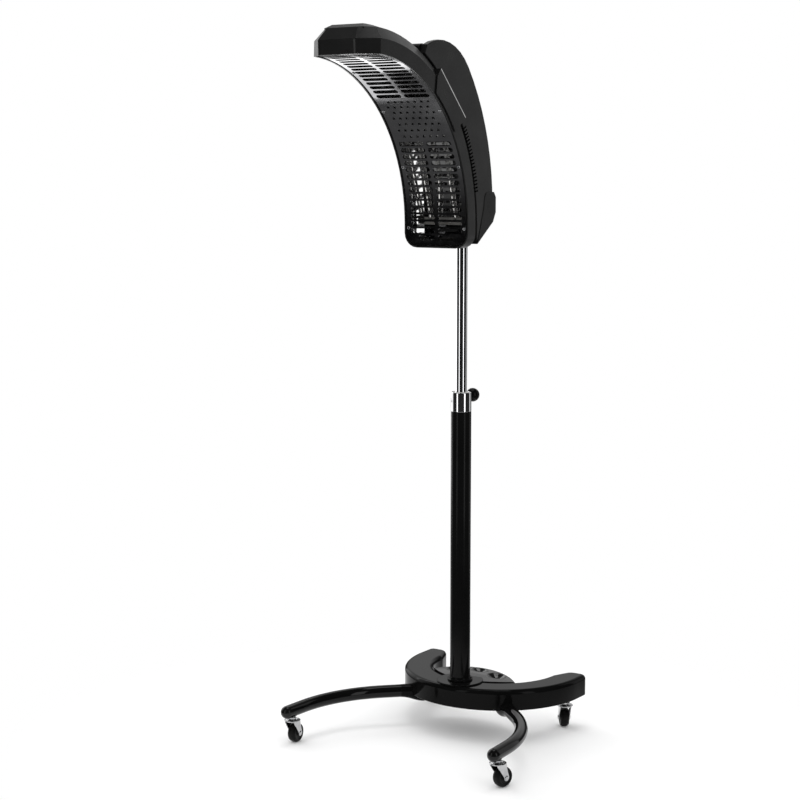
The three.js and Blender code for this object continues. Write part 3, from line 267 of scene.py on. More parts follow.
saddleFinish = glossMoulding("saddleMoulding", 0.0040, 0.0056, smooth=0.14, dull=0.22, gloss=0.6)
legFinish = powderCoat("legPowderCoat", 0.0024, 0.0034, smooth=0.02, dull=0.05, gloss=0.2)
forkFinish = brightPlate(
    "forkPlate", (0.40, 0.405, 0.415), (0.56, 0.56, 0.565), smooth=0.06, dull=0.14, tint=60,
    smear=(90, 90, 90), wave=(90, 0.00006))
grilleFinish = brightPlate(
    "darkGlossSheet", (0.150, 0.150, 0.155), (0.205, 0.205, 0.21), smooth=0.08, dull=0.20, tint=30,
    smear=(40, 90, 90), wave=(30, 0.00030))
digitFinish = dullSolid(
    "paleDigits", (0.36, 0.44, 0.36), (0.44, 0.52, 0.43), smooth=0.3, dull=0.45, gloss=0.4, cloud=200,
    wipe=150, grain=(900, 0.00002))
print("finishes made for", len(finishes), "slots")


# give each CAD node its slot's finish
def dressNodes():
    for subpart in frame["record"]["subparts"]:
        mesh = nodes[subpart["node"]].data
        mesh.materials.clear()
        mesh.materials.append(finishes[subpart["material_slot"]])
    nodes["power_rocker"].data.materials[0] = finishes["black_nylon"]


dressNodes()
print("CAD nodes painted")


# modifiers that round the CAD nodes' edges without touching their meshes
def nodeGroup(name):
    group = bpy.data.node_groups.new(name, "GeometryNodeTree")
    for way in ("INPUT", "OUTPUT"):
        group.interface.new_socket("Geometry", in_out=way, socket_type="NodeSocketGeometry")
    return group, addNode(group, "NodeGroupInput").outputs[0], addNode(group, "NodeGroupOutput").inputs[0]


def weldingGroup(reach):
    group, start, end = nodeGroup("weldCorners")
    plain = addNode(group, "GeometryNodeRemoveAttribute", {"Geometry": start, "Name": "custom_normal"})
    weld = addNode(group, "GeometryNodeMergeByDistance", {0: plain.outputs[0], "Distance": reach})
    group.links.new(weld.outputs[0], end)
    return group


def shadingGroup(angle):
    group, start, end = nodeGroup(f"shadeUnder{angle}")
    turn = addNode(group, "GeometryNodeInputMeshEdgeAngle").outputs["Unsigned Angle"]
    sharp = addNode(group, "FunctionNodeCompare", {"A": turn, "B": math.radians(angle)}).outputs["Result"]
    faces = addNode(group, "GeometryNodeSetShadeSmooth", {"Geometry": start}).outputs["Geometry"]
    edges = addNode(group, "GeometryNodeSetShadeSmooth", {
        "Geometry": faces, "Selection": sharp, "Shade Smooth": False}, domain="EDGE")
    group.links.new(edges.outputs["Geometry"], end)
    return group


def featherGroup(spec):  # thins the rear cover's flanks towards their front edge
    group, start, end = nodeGroup("featherFlanks")
    place = addNode(group, "GeometryNodeInputPosition").outputs[0]
    x, y, z = addNode(group, "ShaderNodeSeparateXYZ", {0: place}).outputs

    def step(operation, first, second):
        return addNode(group, "ShaderNodeMath", {0: first, 1: second}, operation=operation).outputs[0]

    proud = step("MAXIMUM", step("SUBTRACT", step("ABSOLUTE", x, 0.0), spec["inside"] * mm), 0.0)
    forward = step("LESS_THAN", y, spec["frontTo"] * mm)
    cut = step("MULTIPLY", step("MULTIPLY", proud, forward), 1.0 - spec["kept"])
    thinned = step("SUBTRACT", x, step("MULTIPLY", step("SIGN", x, 0.0), cut))
    joined = addNode(group, "ShaderNodeCombineXYZ", {0: thinned, 1: y, 2: z}).outputs[0]
    shift = addNode(group, "GeometryNodeSetPosition", {"Geometry": start, "Position": joined})
    group.links.new(shift.outputs["Geometry"], end)
    return group


rearCoverFlanks = dict(inside=55.3, frontTo=121.0, kept=0.28)
edgeRules = dict(angle=24, segments=3, flat=0.6, weld=0.00002, shade=36)  # angles in degrees, weld in metres
weldCorners = weldingGroup(edgeRules["weld"])
shadeByAngle = shadingGroup(edgeRules["shade"])
featherFlanks = featherGroup(rearCoverFlanks)


def evenNormals(piece):  # keeps flat faces flat next to their rounded edges
    even = piece.modifiers.new("evenNormals", "WEIGHTED_NORMAL")
    even.keep_sharp = True
    even.weight = 80


def softenEdges(name, width, angle=edgeRules["angle"], reshaped=None):
    node = nodes[name]
    node.modifiers.new("weld", "NODES").node_group = weldCorners
    flatten = node.modifiers.new("flatten", "DECIMATE")
    flatten.decimate_type = "DISSOLVE"
    flatten.angle_limit = math.radians(edgeRules["flat"])
    if reshaped:
        node.modifiers.new("reshape", "NODES").node_group = reshaped
    bevel = node.modifiers.new("rounding", "BEVEL")
    bevel.width = width * mm
    bevel.segments = edgeRules["segments"]
    bevel.limit_method = "ANGLE"
    bevel.angle_limit = math.radians(angle)
    bevel.miter_outer = "MITER_ARC"
    bevel.harden_normals = False
    node.modifiers.new("shading", "NODES").node_group = shadeByAngle
    evenNormals(node)


edgeRounds = {  # width in millimetres: nodes
    1.0: ("arch_shell", "left_cheek", "right_cheek"),
    0.8: ("centre_shell", "control_panel"),
    0.6: ("hinge_bracket", "mast_socket", "left_ballast", "right_ballast"),
    0.5: ("base_plate", "left_side_bracket", "right_side_bracket", "power_rocker"),
    0.4: ("display_lens", "mains_inlet", "column_bolt", "hinge_pin"),
    0.3: ("arch_reflector", "lower_lamp_foot_carrier", "upper_lamp_foot_carrier", "column_bush",
          "mast_guide"),
    0.2: ("control_board",),
    0.15: ("lower_lamp_head_carrier", "upper_lamp_head_carrier"),
}
for roundWidth, nodeNames in edgeRounds.items():
    for nodeName in nodeNames:
        softenEdges(nodeName, roundWidth)
softenEdges("lower_rear_cover", 0.3, reshaped=featherFlanks)
for lampName in ("lower_left_lamp", "lower_right_lamp", "upper_left_lamp", "upper_right_lamp"):
    softenEdges(lampName, 0.6, angle=50)
for keyNumber in range(1, 5):
    softenEdges(f"panel_key_{keyNumber}", 0.6, angle=40)
print("CAD edges rounded")


# mesh helpers, all in millimetres
def pick(size, names):  # several sizes at once
    return [size[name] for name in names.split()]


def merged(*parts):
    points, faces = [], []
    for partPoints, partFaces in parts:
        start = len(points)
        points += partPoints
        faces += [[start + index for index in face] for face in partFaces]
    return points, faces


def moved(part, matrix):
    points, faces = part
    return [matrix @ Vector(point) for point in points], faces


def addPiece(name, part, body, slot, replaced=(), sharp=38, look=None):
    points, faces = part
    mesh = bpy.data.meshes.new(name)
    mesh.from_pydata([Vector(point) * mm for point in points], [], faces)
    tidy = bmesh.new()
    tidy.from_mesh(mesh)
    bmesh.ops.recalc_face_normals(tidy, faces=tidy.faces)
    tidy.to_mesh(mesh)
    tidy.free()
    mesh.shade_smooth()
    mesh.set_sharp_from_angle(angle=math.radians(sharp))
    mesh.materials.append(look or finishes[slot])
    piece = bpy.data.objects.new(name, mesh)
    scene.collection.objects.link(piece)
    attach(piece, body)
    evenNormals(piece)
    if replaced:
        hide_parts(*replaced)
    return piece


def rounded(corners, steps=5):  # corners are (radius, height, rounding)
    path = []
    for i, (radius, height, rounding) in enumerate(corners):
        here = Vector((radius, height))
        if rounding <= 0:
            path.append(here)
            continue
        start = here + (Vector(corners[i - 1][:2]) - here).normalized() * rounding
        end = here + (Vector(corners[(i + 1) % len(corners)][:2]) - here).normalized() * rounding
        for step in range(steps + 1):
            t = step / steps
            path.append(start.lerp(here, t).lerp(here.lerp(end, t), t))
    return path


def fullTurn(sides):
    return [2 * math.pi * k / sides for k in range(sides)]


def quarterTurn(steps):
    return [math.pi / 2 * k / steps for k in range(steps + 1)]


def spun(path, sides=96, closed=True):  # turned about z; an open path starts and ends on the axis
    points, rings, faces = [], [], []
    for radius, height in path:
        if radius < 0.001:  # a point on the axis
            rings.append([len(points)] * sides)
            points.append((0, 0, height))
            continue
        rings.append(list(range(len(points), len(points) + sides)))
        points += [(radius * math.cos(turn), radius * math.sin(turn), height) for turn in fullTurn(sides)]
    pairs = list(zip(rings, rings[1:]))
    if closed:
        pairs.append((rings[-1], rings[0]))
    for low, high in pairs:
        for k in range(sides):
            n = (k + 1) % sides
            face = list(dict.fromkeys([low[k], low[n], high[n], high[k]]))
            if len(face) > 2:
                faces.append(face)
    return points, faces


def skinned(rings):  # closed skin over rings of points, capped at both ends
    count = len(rings[0])
    last = count * (len(rings) - 1)
    faces = []
    for low in range(0, last, count):
        for k in range(count):
            n = (k + 1) % count
            faces.append([low + k, low + n, low + count + n, low + count + k])
    faces.append(list(range(count))[::-1])
    faces.append(list(range(last, last + count)))
    return [point for ring in rings for point in ring], faces


def arc(centre, radius, start, end, steps):
    turns = [math.radians(start + (end - start) * k / steps) for k in range(steps + 1)]
    return [Vector((centre[0] + radius * math.cos(t), centre[1] + radius * math.sin(t))) for t in turns]


def inset(loop, distance):  # moves a counter-clockwise loop inward
    shifted = []
    for i, here in enumerate(loop):
        before = (here - loop[i - 1]).normalized()
        after = (loop[(i + 1) % len(loop)] - here).normalized()
        first = Vector((-before.y, before.x))
        second = Vector((-after.y, after.x))
        both = first + second
        shifted.append(here + both * (distance / max(both.dot(first), 0.2)))  # held back at sharp corners
    return shifted


def stacked(loop, levels, y=0.0):  # levels are (height, inset)
    return skinned([[(point.x, point.y + y, height) for point in inset(loop, depth)]
                    for height, depth in levels])


def plate(loop, low, high, edge, steps=3):  # flat plate in x, y with rounded edges between two heights
    rounds = [(edge * (1 - math.cos(turn)), edge * (1 - math.sin(turn))) for turn in quarterTurn(steps)]
    levels = [(low + rise, depth) for rise, depth in rounds]
    return stacked(loop, levels + [(high - rise, depth) for rise, depth in reversed(rounds)])


def sidePlate(loop, low, high, edge, side):  # plate drawn in y, z and standing out along x
    stand = Matrix(((0, 0, side, 0), (1, 0, 0, 0), (0, 1, 0, 0), (0, 0, 0, 1)))
    return moved(plate(loop, low, high, edge), stand)


def swept(route, radius, sides):  # round bar along a route, closed at both ends
    rings = []
    side = Vector((0, 0, 1))
    for i, here in enumerate(route):
        ahead = (route[min(i + 1, len(route) - 1)] - route[max(i - 1, 0)]).normalized()
        side = (side - ahead * side.dot(ahead)).normalized()
        other = ahead.cross(side)
        rings.append([here + side * (radius * math.cos(turn)) + other * (radius * math.sin(turn))
                      for turn in fullTurn(sides)])
    return skinned(rings)


def facing(place, direction):  # local z turned to a direction at a place
    return Matrix.Translation(place) @ Vector(direction).to_track_quat("Z", "Y").to_matrix().to_4x4()


# column, collar, mast and the round pieces at the foot
columnSizes = dict(radius=20.0, wall=2.0, low=87.5, high=647.0, thread=5.3, foot=6.0)
collarSizes = dict(
    radius=20.0, bore=14.8, spigot=17.7, spigotLow=622.3, low=647.3, high=685.0, lip=4.2, lean=0.4,
    recess=0.6)
mastSizes = dict(radius=11.0, bore=9.5, low=430.0, high=1060.0, rounds=(0.3, 0.5, 0.5, 0.3))
padSizes = dict(radius=46.0, bore=20.3, low=106.3, high=108.8, rounds=(0, 0.3, 1.9, 0))
ringSizes = dict(radius=25.0, bore=20.3, low=109.1, high=116.1, flange=2.6, neck=2.6, neckLow=3.6, lip=1.6)


def columnPart(size):
    r, low, high, thread = pick(size, "radius low high thread")
    inner, foot = r - size["wall"], low + size["foot"]
    return spun(rounded([(thread, low, 0), (r, low, 0.6), (r, high, 0.5), (inner, high, 0.4),
                         (inner, foot, 0), (thread, foot, 0)]))


def collarPart(size):
    r, bore, spigot, root, low, high = pick(size, "radius bore spigot spigotLow low high")
    lip, seat = r - size["lip"], high - size["recess"]
    return spun(rounded([(bore, root, 0), (spigot, root, 0.4), (spigot, low, 0), (r, low, 0.5),
                         (r, high, 2.2), (lip, high, 0.3), (lip - size["lean"], seat, 0.2),
                         (bore, seat, 0)]), sides=128)


def tubePart(size, sides=128):
    r, bore, low, high = pick(size, "radius bore low high")
    corners = ((bore, low), (r, low), (r, high), (bore, high))
    return spun(rounded([(*corner, soft) for corner, soft in zip(corners, size["rounds"])]), sides)


def ringPart(size):
    r, bore, low, high = pick(size, "radius bore low high")
    return spun(rounded([(bore, low, 0), (r, low, 0.3), (r, low + size["flange"], 1.0),
                         (bore + size["neck"], low + size["neckLow"], 2.0), (bore + size["lip"], high, 0.8),
                         (bore, high, 0.2)]), sides=128)


onColumn = Matrix.Translation((0, columnY, 0))
addPiece("columnTube", moved(columnPart(columnSizes), onColumn), "base", "black_steel", ["lower_column"])
addPiece("columnCollar", moved(collarPart(collarSizes), onColumn), "base", "bright_chrome", ["column_collar"])
addPiece("mastTube", moved(tubePart(mastSizes), onColumn), "mast", "bright_chrome", ["mast_tube"])
addPiece("columnPad", moved(tubePart(padSizes), onColumn), "base", "gloss_black", ["column_pad"],
         look=baseFinish)
addPiece("footRing", moved(ringPart(ringSizes), onColumn), "base", "gloss_black", ["column_foot_ring"],
         look=baseFinish)
print("column and mast made")


# socket set screw in the collar
screwShape = dict(shoulder=0.35, crown=0.8, floor=0.4, dish=0.15, soft=0.3)  # the first three are shares
setScrew = dict(turn=-127.7, height=667.7, seat=0.1, radius=2.6, proud=0.5, socket=1.568, sink=1.2)


def screwHead(spec):  # button head with a round socket, standing on z = 0
    r, proud, well, sink = pick(spec, "radius proud socket sink")
    shoulder, crown, floor, dish, soft = pick(screwShape, "shoulder crown floor dish soft")
    return spun(rounded([(0, -sink, 0), (r, -sink, 0), (r, proud * shoulder, soft), (r * crown, proud, soft),
                         (well, proud - dish, 0), (well, -sink * floor, 0), (0, -sink * floor, 0)]), sides=32,
                closed=False)


def screwSet(spec, seats):
    return merged(*[moved(screwHead(spec), seat) for seat in seats])


def setScrewSeat(spec):
    turn = math.radians(spec["turn"])
    out = Vector((math.cos(turn), math.sin(turn), 0))
    return facing(Vector((0, columnY, spec["height"])) + out * (collarSizes["radius"] - spec["seat"]), out)


addPiece("collarSetScrew", screwSet(setScrew, [setScrewSeat(setScrew)]), "base", "plated_steel")


# ball knob that clamps the mast
knobSizes = dict(height=675.0, ball=13.5, neck=6.0, neckLength=10.0, lead=0.6, stud=4.0, start=20.3, tip=11.3)


def knobPart(size):
    ballRadius, neck, lead, stud, start, tip = pick(size, "ball neck lead stud start tip")
    lean = math.asin(neck / ballRadius)
    middle = start + size["neckLength"] + ballRadius * math.cos(lean)
    corners = ((0, tip), (stud, tip), (stud, start), (neck - lead, start), (neck, start + lead))
    ball = arc((0, middle), ballRadius, math.degrees(lean) - 90, 90, 28)[:-1]
    path = [*map(Vector, corners), *ball, Vector((0, middle + ballRadius))]
    return moved(spun(path, sides=64, closed=False), facing((0, columnY, size["height"]), (0, 1, 0)))


addPiece("clampBallKnob", knobPart(knobSizes), "clamp", "black_nylon", ["clamp_knob"])
print("collar screw and knob made")


# legs with their domed caps
legSizes = dict(
    radius=12.7, spread=235.0, reach=258.0, rise=4.5, rootAngle=35.7, splay=48.0, toe=3.0, bend=240.0,
    midRadius=159.0, crescentCentre=140.0, endHeight=65.7, straightSteps=8, bendSteps=40)
legCapSizes = dict(radius=legSizes["radius"], plug=9.0, wall=2.3, rim=0.3, gap=0.3)


def legRoute(side, size):
    turn, splay, toe = (math.radians(angle) for angle in pick(size, "rootAngle splay toe"))
    middle, centre = pick(size, "midRadius crescentCentre")
    root = Vector((middle * math.sin(turn), centre - middle * math.cos(turn)))
    end = Vector((size["spread"], -size["reach"]))
    leaving = Vector((math.sin(splay), -math.cos(splay)))
    arriving = Vector((math.sin(toe), -math.cos(toe)))
    span = end - root
    run = (span.x * arriving.y - span.y * arriving.x) / (leaving.x * arriving.y - leaving.y * arriving.x)
    corner = root + leaving * run
    trim = size["bend"] * math.tan((splay - toe) / 2)
    bendStart = corner - leaving * trim
    bendCentre = bendStart - Vector((-leaving.y, leaving.x)) * size["bend"]
    steps = size["straightSteps"]
    plan = [root.lerp(bendStart, k / steps) for k in range(steps)]
    plan += arc(bendCentre, size["bend"], size["splay"], size["toe"], size["bendSteps"])
    plan += [plan[-1].lerp(end, k / steps) for k in range(1, steps + 1)]
    lengths = [0.0] + [(b - a).length for a, b in zip(plan, plan[1:])]
    travelled, route = 0.0, []
    for point, length in zip(plan, lengths):
        travelled += length
        height = size["endHeight"] + size["rise"] * (1 - travelled / sum(lengths))
        route.append(Vector((side * point.x, point.y + columnY, height)))
    return route


def legCapPart(route, size):
    r, plug, wall, rim, gap = pick(size, "radius plug wall rim gap")
    ahead = (route[-1] - route[-2]).normalized()
    corners = ((0, -plug), (r - wall, -plug), (r - wall, gap), (r - rim, gap))
    path = [*map(Vector, corners), *arc((0, gap), r, 0, 90, 14)[:-1], Vector((0, r + gap))]
    return moved(spun(path, sides=64, closed=False), facing(route[-1], ahead))


for sideName, side in bothSides:
    route = legRoute(side, legSizes)
    addPiece(f"{sideName}LegTube", swept(route, legSizes["radius"], sides=64), "base", "black_steel",
             [f"{sideName}_leg"], look=legFinish)
    addPiece(f"{sideName}LegCap", legCapPart(route, legCapSizes), "base", "gloss_black",
             [f"{sideName}_leg_cap"])
print("legs made")


# moulded fairing where each leg leaves the base
fairingSizes = dict(end=48.0, side=16.5, over=13.6, under=23.5, slim=12.9, sides=48, steps=6)


def fairingPart(route, size):
    travelled, stations = 0.0, []
    for here, ahead in zip(route, route[1:]):
        for share in [k / size["steps"] for k in range(size["steps"])]:
            stations.append((travelled + (ahead - here).length * share, here.lerp(ahead, share)))
        travelled += (ahead - here).length
    stations = [(place / size["end"], point) for place, point in stations if place <= size["end"]]
    rings = []
    for i, (share, point) in enumerate(stations):
        ease = (1 - share) ** 2 * (1 + 2 * share)
        before, after = stations[max(i - 1, 0)][1], stations[min(i + 1, len(stations) - 1)][1]
        ahead = (after - before).normalized()
        across = Vector((ahead.y, -ahead.x, 0)).normalized()
        slim, *full = pick(size, "slim side over under")
        half, crest, under = (slim + (reach - slim) * ease for reach in full)
        ring = []
        for turn in fullTurn(size["sides"]):
            rise = (crest if math.sin(turn) > 0 else under) * math.sin(turn)
            ring.append(point + across * (half * math.cos(turn)) + Vector((0, 0, rise)))
        rings.append(ring)
    return skinned(rings)


for sideName, side in bothSides:
    fairing = fairingPart(legRoute(side, legSizes), fairingSizes)
    addPiece(f"{sideName}LegFairing", fairing, "base", "gloss_black", look=baseFinish)
print("leg fairings made")


# saddle between the crescent's arms; hollows are (across, back, half width, half length, depth)
saddleSizes = dict(radius=129.7, front=140.0, rear=-31.4, reach=94.5, low=65.0, high=105.8, edge=9.0,
                   well=20.6, crown=4.5, crownRun=50.0, hollowPower=1.3, rowPower=1.6, columns=96, rows=48,
                   hollows=((0.0, 76.0, 19.0, 13.0, 7.0), (48.0, 61.0, 21.0, 17.0, 9.0),
                            (-48.0, 61.0, 21.0, 17.0, 9.0)))


def saddleHeight(x, y, gap, size):  # gap is the distance to the rear edge
    height = size["high"] + size["crown"] * (1 - (x / size["reach"]) ** 2) * min(1.0, y / size["crownRun"])
    for middleX, middleY, wide, deep, depth in size["hollows"]:
        reach = ((x - middleX) / wide) ** 2 + ((y - middleY) / deep) ** 2
        if reach < 1:
            height -= depth * (1 - reach) ** size["hollowPower"]
    if gap < size["edge"]:
        height -= size["edge"] * (1 - math.sqrt(1 - (1 - gap / size["edge"]) ** 2))
    return height


def saddlePart(size):
    columns, rows = pick(size, "columns rows")
    points, faces = [], []
    for i in range(columns + 1):
        x = size["reach"] * (2 * i / columns - 1)
        swing = math.sqrt(size["radius"] ** 2 - x * x)
        front = max(size["front"] - swing, math.sqrt(max(size["well"] ** 2 - x * x, 0.0)))
        rear = size["rear"] + swing
        for j in range(rows + 1):
            y = front + (rear - front) * (1 - (1 - j / rows) ** size["rowPower"])  # rows close up at the rear
            points.append((x, y + columnY, saddleHeight(x, y, rear - y, size)))
    count = rows + 1
    top = len(points)
    points += [(x, y, size["low"]) for x, y, z in points[:top]]
    for i in range(columns):
        for j in range(rows):
            a = i * count + j
            faces.append([a, a + count, a + count + 1, a + 1])
            faces.append([top + a, top + a + 1, top + a + count + 1, top + a + count])
    ring = [i * count for i in range(columns + 1)] + [columns * count + j for j in range(1, count)]
    ring += [i * count + rows for i in range(columns - 1, -1, -1)] + [j for j in range(rows - 1, 0, -1)]
    for a, b in zip(ring, ring[1:] + ring[:1]):
        faces.append([a, top + a, top + b, b])
    return points, faces


addPiece("rearSaddle", saddlePart(saddleSizes), "base", "gloss_black", ["rear_saddle"], 45, saddleFinish)
print("saddle made")


# crescent cover of the base, with a full round along its top edge
coverSizes = dict(
    radius=188.0, inner=130.0, centre=140.0, past=45.0, tip=40.0, tipRound=15.0, low=65.0, high=106.0,
    edge=9.0, wall=3.0, rim=0.6)


def crescentLoop(size):
    radius, inner, centre, soft = pick(size, "radius inner centre tipRound")
    end = centre + size["past"]
    tip = rounded([(radius, centre, 0), (radius, end, soft), (radius - size["tip"], end, soft),
                   (inner, centre, 0)], 8)
    right = arc((0, centre), radius, -90, 0, 60)[:-1] + tip + arc((0, centre), inner, 0, -90, 48)[1:]
    return right + [Vector((-point.x, point.y)) for point in reversed(right[1:-1])]


def coverPart(size):
    low, high, edge, wall, rim = pick(size, "low high edge wall rim")
    levels = [(high - wall, edge), (high - edge, wall), (low + rim, wall), (low, wall - rim), (low, rim),
              (low + rim, 0)]
    for turn in quarterTurn(8):
        levels.append((high - edge + edge * math.sin(turn), edge * (1 - math.cos(turn))))
    return stacked(crescentLoop(size), levels, columnY)


addPiece("crescentCover", coverPart(coverSizes), "base", "gloss_black", ["base_cover"], 40, baseFinish)
print("base cover made")


# casters; profiles are (radius, height, rounding)
casterSizes = dict(
    wheel=19.0, width=17.0, trail=12.0, axle=2.8, plateTop=48.0, plateLow=46.0, plate=16.0, hole=5.3,
    armIn=9.5, armOut=11.5, armEdge=0.5, foot=6.0, armTop=47.0, armRear=((-11.2, 0.0), (-10.4, -4.0)),
    armFront=((12.6, -9.0), (11.4, 0.0)))
wheelDish = ((5.6, 0, 0.5), (6.4, -1.3, 0.4), (12.4, -1.3, 0.5), (13.2, 0, 0.4))  # from the wheel's face
wheelTread = ((-2.4, 0, 1.2), (-0.5, -3.6, 1.6), (0, -5.95, 1.2))  # from the face and the rim
lowerRace = ((9.2, 0, 0.2), (9.6, -1.4, 0.4), (13.4, -1.4, 0.7), (13.8, 0, 0.2))  # from under the plate
upperRace = ((12.8, 0, 0.3), (12.0, 0.9, 0.5), (9.4, 0.9, 0.5), (8.8, 0, 0.3))  # from its top
axleEnd = ((2.5, 11.5, 0), (4.1, 11.5, 0), (4.1, 12.1, 0.4), (3.0, 12.9, 0.7), (0, 12.9, 0))


def placed(profile, height, radius=0.0):
    return [(radius + reach, height + rise, soft) for reach, rise, soft in profile]


def mirrored(profile):
    return [(radius, -height, soft) for radius, height, soft in reversed(profile)]


def casterFrame(place):
    joints = {joint["name"]: joint for joint in frame["joints"]}
    swivel = Vector(joints[f"{place}_swivel"]["pos_m"]) / mm
    across = Vector(joints[f"{place}_roll"]["axis"])
    turn = math.atan2(across.y, across.x)
    return Matrix.Translation((swivel.x, swivel.y, 0)) @ Matrix.Rotation(turn, 4, "Z")


def acrossAxle(size):  # lathe frame with its z along the axle
    return Matrix.Translation((0, size["trail"], size["wheel"])) @ Matrix.Rotation(math.pi / 2, 4, "Y")


def wheelPart(size):
    half = size["width"] / 2
    face = [(size["axle"], half, 0.2), *placed(wheelDish, half), *placed(wheelTread, half, size["wheel"])]
    return moved(spun(rounded(face + mirrored(face)), sides=72), acrossAxle(size))


def forkArm(size, side):
    top = Vector((0, size["armTop"]))
    rear, front = ([top + Vector(end) for end in ends] for ends in pick(size, "armRear armFront"))
    foot = arc((size["trail"], size["wheel"]), size["foot"], 172, 372, 18)
    return sidePlate(rear + foot + front, size["armIn"], size["armOut"], size["armEdge"], side)


def forkPart(size):
    high, low, r, hole = pick(size, "plateTop plateLow plate hole")
    crown = [(hole, low, 0), *placed(lowerRace, low), (r, low, 0.6), (r, high, 0.9),
             *placed(upperRace, high), (hole, high, 0)]
    pin = spun(rounded([*mirrored(axleEnd), *axleEnd]), sides=32, closed=False)
    return merged(spun(rounded(crown), sides=64), forkArm(size, 1), forkArm(size, -1),
                  moved(pin, acrossAxle(size)))


for place in ("left_front", "right_front", "left_rear", "right_rear"):
    atCaster = casterFrame(place)
    sideName, endName = place.split("_")
    pieceName = sideName + endName.capitalize()
    addPiece(f"{pieceName}Wheel", moved(wheelPart(casterSizes), atCaster), f"{place}_wheel", "black_rubber",
             [f"{place}_caster_wheel"])
    addPiece(f"{pieceName}Fork", moved(forkPart(casterSizes), atCaster), f"{place}_fork", "bright_chrome",
             [f"{place}_caster_fork"], look=forkFinish)
    softenEdges(f"{place}_caster_stem", 0.4, angle=40)
print("casters made")


# arch grille, laid flat and bent round the arch
archSizes = dict(
    radius=300.0, length=487.0, swell=0.12, halfWidth=71.5, tail=44.0, tailRound=28.0, noseAcross=31.6,
    noseAlong=29.3, ahead=392.0, height=1012.0, swellPower=1.5)
grilleSizes = dict(
    inset=4.8, front=1.0, thick=3.0, edge=0.45, pitch=13.0, slotHeight=8.6, slotLength=54.0, rib=7.0,
    lowerStart=-12.0, lowerRows=14, tailLength=36.0, upperStart=270.0, upperRows=14, hole=5.4, holeRows=7,
    holeColumns=7, holeAcross=14.5, holeMargin=16.0, stagger=0.25, snap=0.0025, near=16.0)


def onArch(across, along, out):
    curved = max(along, 0.0)
    turn = curved / archSizes["radius"]
    share = min(curved / archSizes["length"], 1.0)
    swell = archSizes["swell"] * math.sin(math.pi * share ** archSizes["swellPower"])
    reach = archSizes["radius"] + out * (1 + swell)
    y = columnY - archSizes["ahead"] + reach * math.cos(turn)
    z = archSizes["height"] + reach * math.sin(turn) + min(along, 0.0)
    return Vector((across, y, z))


def grilleOutline(size, lines):  # split where the cross lines meet it
    half, nose, corner = pick(archSizes, "halfWidth length tailRound")
    right = arc((half - corner, corner - archSizes["tail"]), corner, -90, 0, 12)
    right += [Vector((half, nose - archSizes["noseAlong"])), Vector((half - archSizes["noseAcross"], nose))]
    loop = inset(right + [Vector((-point.x, point.y)) for point in reversed(right)], size["inset"])
    split = []
    for here, ahead in zip(loop, loop[1:] + loop[:1]):
        split.append(here)
        cuts = [(line - here.y) / (ahead.y - here.y) for line in lines if abs(ahead.y - here.y) > 0.01]
        split += [here.lerp(ahead, t) for t in sorted(cuts) if 0.001 < t < 0.999]
    return split


def slotPair(along, length, size):
    r = size["slotHeight"] / 2
    reach = length / 2 - r
    middles = [side * (size["rib"] + length) / 2 for side in (-1, 1)]
    return [arc((x + reach, along), r, -90, 90, 9) + arc((x - reach, along), r, 90, 270, 9) for x in middles]


def holeLines(size):  # where the rows of round holes lie
    first = size["lowerStart"] + (size["lowerRows"] - 1) * size["pitch"] + size["holeMargin"]
    step = (size["upperStart"] - size["holeMargin"] - first) / (size["holeRows"] - 1)
    return [first + step * row for row in range(size["holeRows"])], step


def grilleHoles(size):
    holes = []
    for start, rows in (pick(size, "lowerStart lowerRows"), pick(size, "upperStart upperRows")):
        for row in range(rows):
            holes += slotPair(start + row * size["pitch"], size["slotLength"], size)
    holes += slotPair(size["lowerStart"] - size["pitch"], size["tailLength"], size)
    for row, along in enumerate(holeLines(size)[0]):
        stagger = size["stagger"] * (-1) ** row
        for column in range(size["holeColumns"]):
            across = (column - (size["holeColumns"] - 1) / 2 + stagger) * size["holeAcross"]
            holes.append(arc((across, along), size["hole"] / 2, 0, 360, 20)[:-1])
    return holes


def crossLines(size):  # edges across the grille that keep its bend even
    rows, step = holeLines(size)
    lines = [size["lowerStart"] + size["pitch"] * (row - 0.5) for row in range(-1, size["lowerRows"] + 1)]
    lines += [along + step * share for along in rows[:-1] for share in (0.25, 0.5, 0.75)]
    return lines + [size["upperStart"] + size["pitch"] * (row - 0.5) for row in range(size["upperRows"] + 1)]


def insideLoop(point, loop):
    inside = False
    for a, b in zip(loop, loop[1:] + loop[:1]):
        if (a.y > point.y) != (b.y > point.y):
            if point.x < a.x + (b.x - a.x) * (point.y - a.y) / (b.y - a.y):
                inside = not inside
    return inside


def flatGrille(size, outline, holes, lines):  # points, the same drawn in by the edge, and triangles
    points, edges, fronts = [], [], []
    for loop in [outline] + [list(reversed(hole)) for hole in holes]:
        start = len(points)
        count = len(loop)
        points += loop
        fronts += inset(loop, size["edge"])
        edges += [(start + k, start + (k + 1) % count) for k in range(count)]
    for line in lines:
        ends = [k for k, point in enumerate(outline) if abs(point.y - line) < size["snap"]]
        ends.sort(key=lambda k: outline[k].x)
        if len(ends) >= 2:
            edges.append((ends[0], ends[-1]))
    flat, _, triangles, origins, _, _ = delaunay_2d_cdt(points, edges, [], 0, 0.0001)
    front = [fronts[origin[0]] if origin else point for point, origin in zip(flat, origins)]
    kept = []
    for triangle in triangles:
        middle = sum((flat[k] for k in triangle), Vector((0, 0))) / 3
        near = [hole for hole in holes if abs(hole[0].y - middle.y) < size["near"]]
        if insideLoop(middle, outline) and not any(insideLoop(middle, hole) for hole in near):
            kept.append(triangle)
    return flat, front, kept


